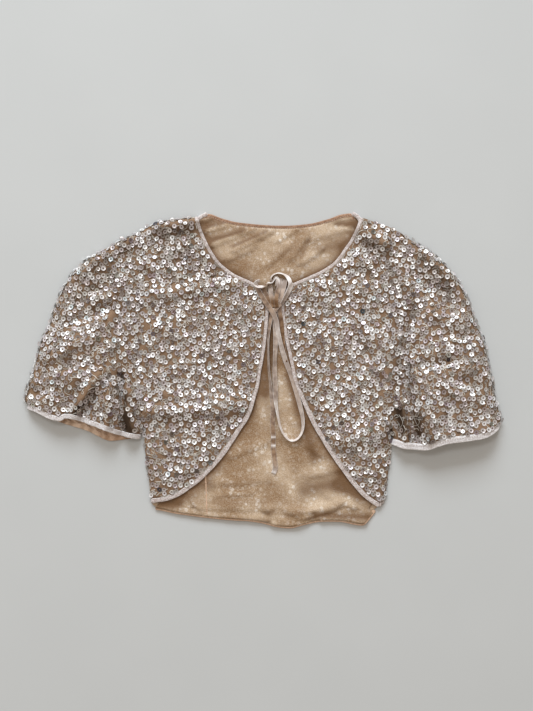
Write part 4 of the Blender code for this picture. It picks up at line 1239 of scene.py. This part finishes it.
def sleeve_surface(side):
    """Outer points of the tube, rows from armhole to hem, columns round it from the underarm."""
    over, under = sleeve_plans(side)
    last = over.shape[0] - 1
    along = np.linspace(0.0, 1.0, SLEEVE_ROWS + 1)[:, None]
    shares = np.linspace(0.0, 1.0, 41)[None]
    row = read(over, along * last + 0.0 * shares, shares * last + 0.0 * along)
    width = np.linalg.norm(np.diff(row, axis=1), axis=-1).sum(axis=1)[:, None]
    inset = FOLD_RADIUS / width
    low = inset + (1.0 - 2.0 * inset) * np.linspace(0.0, 1.0, UNDER_CELLS + 1)[None]
    low_plan = read(under, along * last + 0.0 * low, low * last)
    half_turn = np.linspace(0.0, np.pi, OVER_CELLS + 1)
    even = 1.0 - half_turn / np.pi
    high = (even + 0.5 * (0.5 + 0.5 * np.cos(half_turn) - even))[None] + 0.0 * along
    plan = read(over, along * last + 0.0 * high, high * last)
    ramp = smooth_step(along / SEAM_RAMP) * np.sqrt(np.maximum(4.0 * high * (1.0 - high), 0.0))
    height = front_top(plan, side) + puff_at(high, along, side)
    creases = SLEEVE_FOLD_SHARE * folds_at(plan, SLEEVE_FOLDS[side])
    height = height + ramp * (creases + unevenness(plan, *SLEEVE_WAVE))
    height = np.maximum(height, SLEEVE_MIN_HEIGHT)
    near = np.clip(np.minimum(high, 1.0 - high) * width / EDGE_ROUND, 0.0, 1.0)
    height = FOLD_RADIUS + (height - FOLD_RADIUS) * np.sqrt(1.0 - (1.0 - near) ** 2)
    lower = np.dstack((low_plan, np.full(low_plan.shape[:2], UNDER_REST)))
    return np.concatenate((lower, np.dstack((plan, height))), axis=1)


def tube_normals(surface):
    """Outward normals of the tube, differences taken round it across its join."""
    around = np.roll(surface, -1, axis=1) - np.roll(surface, 1, axis=1)
    found = unit(np.cross(around, np.gradient(surface, axis=0)) + 1e-9)
    middle = UNDER_CELLS + 1 + OVER_CELLS // 2
    return found * (1.0 if found[:, middle, 2].mean() > 0.0 else -1.0)


sleeves = {}
sleeve_normals = {}
for side in SIDES:
    name = "sleeve_" + side
    surface = sleeves[side] = sleeve_surface(side)
    outward = sleeve_normals[side] = tube_normals(surface)
    sheets[name] = two_sided(surface, surface - outward * WALL, "sleeve_cloth_" + side,
                             [net, sleeve_lining], (name,),
                             shade_of(surface, outward), axis=0)
    hem_line = surface[-1] + outward[-1] * SLEEVE_TAPE_OUT
    halves = [normals(hem_line[:UNDER_CELLS + 1]), normals(hem_line[UNDER_CELLS + 1:])]
    onward = np.vstack([half * np.sign(-half[:, 1:].mean()) for half in halves])
    onward = np.column_stack((onward, 0.0 * onward[:, 0]))
    angle = round_angles(SLEEVE_TAPE_CORNERS)
    width, offset = SLEEVE_TAPE[side]
    across = 0.5 * width * blunt(np.cos(angle), 0.6)
    walked = travelled(hem_line)
    pucker = 1.0 + 0.06 * np.sin(walked * 0.8) + 0.05 * np.sin(walked * 0.33)
    rings = (hem_line[:, None] + onward[:, None] * (across + offset)[:, None]
             + outward[-1][:, None] * np.sin(angle)[:, None]
             * np.minimum(pucker, 1.0)[:, None, None])
    rings[..., 2] = np.maximum(rings[..., 2], 0.1)
    points, quads = loft(rings[None], closed=True)
    sewn[name].append(make_piece("sleeve_tape_" + side, points, quads, [sleeve_tape],
                                 ("sleeve_binding_" + side,),
                                 strip=strip_of(rings, walked, across)))
    over_hem = slice(UNDER_CELLS + 4, -3)
    seams[name] = (hem_line[over_hem, :2] + onward[over_hem, :2] * STITCH_IN,
                   onward[over_hem, :2], hem_line[over_hem, 2] + SLEEVE_STITCH_LEVEL)
print("sleeves in m2:", {side: round(area_of(tube), 4) for side, tube in sleeves.items()})

# %% [markdown]
# ## The lining that peeks out
# The left sleeve's lining is a little longer than its sleeve, so a strip of it shows below
# the hem. It is a small sheet under the sleeve's lower half: read off the same plan, drawn on
# to the hem's outer edge, and pleated where the photograph's pleats are.

# %% The sleeve lining's strip
PEEK_PLEATS = ((0.16, 0.03, 0.8), (0.24, 0.03, 1.6), (0.31, 0.02, 1.2), (0.38, 0.035, 2.2),
               (0.47, 0.03, 1.4), (0.555, 0.035, 2.0), (0.64, 0.02, 1.2), (0.71, 0.02, 0.8))
PEEK_START = 0.78
PEEK_HEIGHT = 2.4
PEEK_ROWS_OUT = 8
peek_u = np.linspace(0.08, 0.80, 145)[None]
peek_v = np.linspace(PEEK_START, 1.0, 23)[:, None]
under_plan = sleeve_plans("left")[1]
last = under_plan.shape[0] - 1
peek_plan = read(under_plan, peek_v * last + 0.0 * peek_u, peek_u * last + 0.0 * peek_v)
outer_edge = resample(curve(SLEEVE_HEM_UNDER["left"], 200)[4:-6], last + 1)
outer_edge = np.stack([np.interp(peek_u[0] * last, np.arange(last + 1), outer_edge[:, k])
                       for k in range(2)], axis=-1)
onward = (outer_edge - peek_plan[-1])[None]
shares = np.linspace(0.15, 1.0, PEEK_ROWS_OUT)[:, None, None]
peek_plan = np.concatenate((peek_plan, peek_plan[-1:] + onward * shares))
peek_v = np.concatenate((peek_v, np.full((PEEK_ROWS_OUT, 1), 1.0)))
pleats = sum(h * np.exp(-((peek_u - s) / w) ** 2) for s, w, h in PEEK_PLEATS)
peek = np.dstack((peek_plan,
                  PEEK_HEIGHT + smooth_step((peek_v - PEEK_START) / (1.0 - PEEK_START)) * pleats))
# Painted shade: the strip is deeper between its pleats and lightest on their crests.
sheets["peek"] = two_sided(peek, peek - (0.0, 0.0, LINING_WALL), "sleeve_lining_cloth",
                           [sleeve_lining, sleeve_lining], ("sleeve_lining_left",),
                           np.clip(0.8 - pleats * 0.62, 0.0, 1.0) + 0.0 * peek_v)
print("strip of lining in m2:", round(area_of(peek), 5))

# %% [markdown]
# ## Sequins
# About 2,700 cup sequins show, and about 2,300 more lie underneath. Placing them by hand is
# out of the question, and a regular grid would look printed. Darts are thrown at the surface
# instead: each cell of the grid is hit in proportion to its area, and a dart too near to one
# that stuck is dropped, or one on a bare spot. One cup of 40 faces, or of 24 where it is
# hidden, is then copied to all of them at once with array maths, tilted a little each its
# own way, which is what makes them glint unevenly.

# %% Throw the places of the sequins
AREA_SHOWN = 63.0
AREA_HIDDEN = 90.0
SEQUIN_SPACING = 5.7
DARTS_EACH = 9
EDGE_MARGIN = {"front_left": (3.3, 3.3), "front_right": (3.3, 3.3),
               "sleeve_left": (4.8, 0.4), "sleeve_right": (6.0, 0.4)}
BARE = ((-213, 77, -209, 78, 7), (-166, 66, -156, 62, 6), (-252, -38, -230, -4, 5),
        (-64, 100, -60, 99, 4), (236, 60, 244, 62, 5), (96, -60, 104, -58, 4),
        (190, -57, 197, -77, 6), (-187, -68, -184, -88, 4.5), (218, -66, 219, -82, 4),
        (-191, -42, -192, -72, 3))


def margins(grid, at_hem, at_front):
    """Last row allowed in each column and first column in each row, for a distance in mm."""
    down = np.linalg.norm(np.diff(grid[-12:], axis=0), axis=-1).mean(axis=0)
    across = np.linalg.norm(np.diff(grid[:, :6], axis=1), axis=-1).mean(axis=1)
    return grid.shape[0] - 1 - np.minimum(at_hem / down, 30.0), at_front / across


def throw(grid, found_normals, seed, area, at_hem=3.3, at_front=0.4):
    """Fractional rows and columns of the darts that stuck."""
    rng = np.random.default_rng(seed)
    cross = np.cross(grid[1:, 1:] - grid[:-1, :-1], grid[1:, :-1] - grid[:-1, 1:])
    weight = 0.5 * np.linalg.norm(cross, axis=-1)
    wanted = int(weight.sum() / area)
    cells = rng.choice(weight.size, wanted * DARTS_EACH, p=(weight / weight.sum()).ravel())
    rows = cells // weight.shape[1] + rng.random(len(cells))
    columns = cells % weight.shape[1] + rng.random(len(cells))
    last_row, first_column = margins(grid, at_hem, at_front)
    inside = ((rows < last_row[columns.astype(int)]) & (columns > first_column[rows.astype(int)]))
    rows, columns = rows[inside], columns[inside]
    spots = read(grid, rows, columns)
    if found_normals[..., 2].mean() > 0.0:
        bare = np.min([segment_distance(spots, *row[:4]) / row[4] for row in BARE], axis=0)
        rows, columns, spots = rows[bare > 1.0], columns[bare > 1.0], spots[bare > 1.0]
    kept = np.full((wanted, 3), 1e6)
    chosen = []
    for k, spot in enumerate(spots):
        if len(chosen) == wanted:
            break
        if ((kept[:len(chosen)] - spot) ** 2).sum(axis=1).min(initial=1e9) > SEQUIN_SPACING ** 2:
            kept[len(chosen)] = spot
            chosen.append(k)
    rows, columns = rows[chosen], columns[chosen]
    return rows, columns, read(grid, rows, columns), unit(read(found_normals, rows, columns))

# %% Make the sequins
SHOWN_SEEDS = (40, 60)
HIDDEN_SEEDS = (80, 90)
LEAST_RISE = 0.55
SEQUIN_SIZES = (0.93, 1.07)
CUP = np.array(((1.0, 0.40), (2.3, 0.52), (3.5, 0.84), (2.1, 0.12)))
SEQUIN_SHADE = 0.62
SHADE_TINT = (0.88, 1.0, 1.10)
OUTLINE_PUSH = 2.4
# Painted shade and highlight round each cup, ring by ring from the hole: darker at the hole's edge,
# a painted highlight on the flat, darker at the rim, darkest underneath.
RING_SHADE = (0.48, 1.25, 0.74, 0.40)
TONES = (
    (0.22, srgb(252, 253, 255), 0.03), (0.26, srgb(223, 220, 222), 0.05),
    (0.29, srgb(195, 189, 188), 0.05), (0.23, srgb(168, 159, 156), 0.04),
    (0.02, srgb(118, 108, 106), 0.03), (0.003, srgb(58, 54, 60), 0.01),
    (0.012, srgb(222, 236, 248), 0.03),
)


def make_sequins(name, spots, facing_way, seed, shaded=0.0, tilt=0.22, depth=1.0,
                 lift=(0.25, 1.0), sides=10):
    """Cups turned round an axis near the normal: spot + r (cos a, sin a) + height up."""
    rng = np.random.default_rng(seed)
    count = len(spots)
    helper = np.where(np.abs(facing_way[:, :1]) > 0.9, ((0.0, 1.0, 0.0),), ((1.0, 0.0, 0.0),))
    first = unit(np.cross(facing_way, helper))
    lean = rng.normal(0.0, tilt, (count, 2))
    up = unit(facing_way + first * lean[:, :1] + np.cross(facing_way, first) * lean[:, 1:])
    first = unit(np.cross(up, helper))
    second = np.cross(up, first)
    angle = round_angles(sides)[None] + rng.uniform(0.0, 6.0, (count, 1))
    size = rng.uniform(*SEQUIN_SIZES, count)[:, None, None]
    radius = CUP[None, :, None, 0] * size
    round_x = (radius * np.cos(angle)[:, None])[..., None]
    round_y = (radius * np.sin(angle)[:, None])[..., None]
    rise = CUP[None, :, None, 1, None] * depth
    base = spots + facing_way * rng.uniform(*lift, (count, 1))
    rings = (base[:, None, None] + first[:, None, None] * round_x + second[:, None, None] * round_y
             + up[:, None, None] * rise)
    rings[..., 2] = np.maximum(rings[..., 2], 0.02)
    points, quads = loft(rings, closed=True)
    shares, colours, spreads = (np.array(row) for row in zip(*TONES))
    kind = rng.choice(len(TONES), count, p=shares / shares.sum())
    colour = colours[kind] + rng.normal(0.0, 1.0, (count, 1)) * spreads[kind][:, None]
    colour = colour + rng.normal(0.0, 0.010, (count, 3))
    darker = np.minimum(shaded, SEQUIN_SHADE * shaded) + np.zeros(count)
    colour = colour * (1.0 - darker[:, None] * np.array(SHADE_TINT))
    colour = np.clip(colour[:, None] * np.array(RING_SHADE)[None, :, None], 0.01, 0.96)
    tone = np.repeat(np.concatenate((colour, np.ones((count, 4, 1))), axis=2).reshape(-1, 4),
                     sides, axis=0)
    return make_piece(name, points, quads, [pearl], tone=tone, smooth=False)


shown = {}
hidden = {"back": (back, grid_normals(back, -1.0))}
for side in SIDES:
    name = "sleeve_" + side
    over, under = slice(UNDER_CELLS + 1, None), slice(0, UNDER_CELLS + 1)
    shown["front_" + side] = (fronts[side], grid_normals(fronts[side]))
    shown[name] = (sleeves[side][:, over], sleeve_normals[side][:, over])
    hidden[name] = (sleeves[side][:, under], sleeve_normals[side][:, under])
for k, (name, (grid, found)) in enumerate(shown.items()):
    _, _, spots, ways = throw(grid, found, SHOWN_SEEDS[0] + k, AREA_SHOWN, *EDGE_MARGIN[name])
    shaded = shade_of(spots, ways)
    spots = spots + ways * OUTLINE_PUSH * np.clip(0.7 - ways[:, 2:], 0.0, 0.7)
    ways = unit(np.column_stack((ways[:, :2], np.maximum(ways[:, 2], LEAST_RISE))))
    sewn[name].append(make_sequins("sequins_" + name, spots, ways, SHOWN_SEEDS[1] + k, shaded))
for k, (name, (grid, found)) in enumerate(hidden.items()):
    _, _, spots, ways = throw(grid, found, HIDDEN_SEEDS[0] + k, AREA_HIDDEN)
    sewn[name].append(make_sequins("under_sequins_" + name, spots, ways, HIDDEN_SEEDS[1] + k,
                                   tilt=0.02, depth=0.5, lift=(0.05, 0.2), sides=6))

# %% [markdown]
# ## Thread between the sequins
# The net is also covered with a cream thread that wanders between the sequins. Each run is a
# short walk whose heading swings and drifts, and it is drawn in the panel's own rows and
# columns, so it can't leave the surface. A flat four-sided section is carried along all the
# runs at once.

# %% Threads and stitches
THREAD_STEPS = 8
THREAD_STEP = (1.2, 2.2)
SWING = 2.6
DRIFT = 3.4
THREAD_SIZE = (1.25, 0.8)
THREAD_LIFT = 0.4
AREA_THREAD = 52.0
THREAD_SEED = 120


def strands(path, side, up, width, height):
    """Flat four-sided strands: path + side (+-width / 2), path + up (+-height / 2)."""
    corners = np.array(((1, 0), (0, 1), (-1, 0), (0, -1))) * (0.5 * width, 0.5 * height)
    rings = (path[:, :, None] + side[:, :, None] * corners[:, :1]
             + up[:, :, None] * corners[:, 1:])
    return loft(rings)


def make_threads(name, grid, found_normals, seed):
    """Wandering runs: the heading is a start angle, a sine's swing and a drift, and the steps
    are summed."""
    rng = np.random.default_rng(seed)
    rows, columns, spots, ways = throw(grid, found_normals, seed, AREA_THREAD)
    count = len(spots)
    t = np.linspace(0.0, 1.0, THREAD_STEPS + 1)[None]
    heading = rng.uniform(0.0, 2.0 * np.pi, (count, 1))
    heading = heading + rng.uniform(-SWING, SWING, (count, 1)) * np.sin(2.0 * np.pi * t)
    heading = heading + rng.uniform(-DRIFT, DRIFT, (count, 1)) * t
    step = rng.uniform(*THREAD_STEP, (count, 1))
    near = (rows.astype(int), columns.astype(int))
    down = np.gradient(grid, axis=0)[near]
    across = np.gradient(grid, axis=1)[near]
    first = unit(across)
    second = np.cross(ways, first)
    walk_down = np.sin(heading) * step / (down * second).sum(axis=1)[:, None]
    walk_across = np.cos(heading) * step - walk_down * (down * first).sum(axis=1)[:, None]
    walk_across = walk_across / np.linalg.norm(across, axis=1)[:, None]
    r = rows[:, None] + np.cumsum(walk_down, axis=1)
    c = columns[:, None] + np.cumsum(walk_across, axis=1)
    r = np.clip(r, 0.2, grid.shape[0] - 1.2)
    c = np.clip(c, 0.2, grid.shape[1] - 1.2)
    last_row, first_column = margins(grid, 1.0, 1.0 if name.startswith("threads_front") else 0.2)
    r = np.minimum(r, last_row[c.astype(int)])
    c = np.maximum(c, first_column[r.astype(int)])
    up = unit(read(found_normals, r, c))
    path = read(grid, r, c) + up * THREAD_LIFT
    side = unit(np.cross(up, np.gradient(path, axis=1)) + 1e-9)
    points, quads = strands(path, side, up, *THREAD_SIZE)
    strip = as_strip(np.repeat(np.clip(shade_of(spots, ways), 0.0, 1.0), len(points) // count))
    return make_piece(name, points, quads, [cream_thread], strip=strip)


for k, (name, (grid, found)) in enumerate(shown.items()):
    sewn[name].append(make_threads("threads_" + name, grid, found, THREAD_SEED + k))

# %% Stitches along the tapes
STITCH_PITCH = 3.2
STITCH_SIZE = (0.5, 0.4)
STITCH_HUMP = (-0.25, 0.12, -0.25)


def make_stitches(name, path, outward, level):
    """A row of short stitches: three points each, humped in the middle."""
    count = int(travelled(path)[-1] / STITCH_PITCH)
    line = resample(np.column_stack((path, level, outward)), count * 4 + 1)
    starts = np.arange(count)[:, None] * 4 + np.arange(3)[None]
    run = line[starts]
    spots = run[..., :3].copy()
    spots[..., 2] += np.array(STITCH_HUMP)
    side = np.concatenate((unit(run[..., 3:5]), np.zeros(run.shape[:2] + (1,))), axis=-1)
    up = np.broadcast_to((0.0, 0.0, 1.0), side.shape)
    points, quads = strands(spots, side, up, *STITCH_SIZE)
    return make_piece(name, points, quads, [sewing_thread])


for name, row in seams.items():
    sewn["lining" if name == "neck" else name].append(make_stitches("stitches_" + name, *row))

# %% [markdown]
# ## The end
# The last lines only look up each front's and each sleeve's sheet and what is sewn to it.
# The size and area of the cut that they list for each are not used.

for side, cut, area in (("left", (0.185, 0.41), 0.0512), ("right", (0.165, 0.415), 0.0424)):
    sheets["front_" + side]
    sewn["front_" + side]
for side, cut, area in (("left", (0.60, 0.18), 0.068), ("right", (0.62, 0.16), 0.066)):
    sheets["sleeve_" + side]
    sewn["sleeve_" + side]
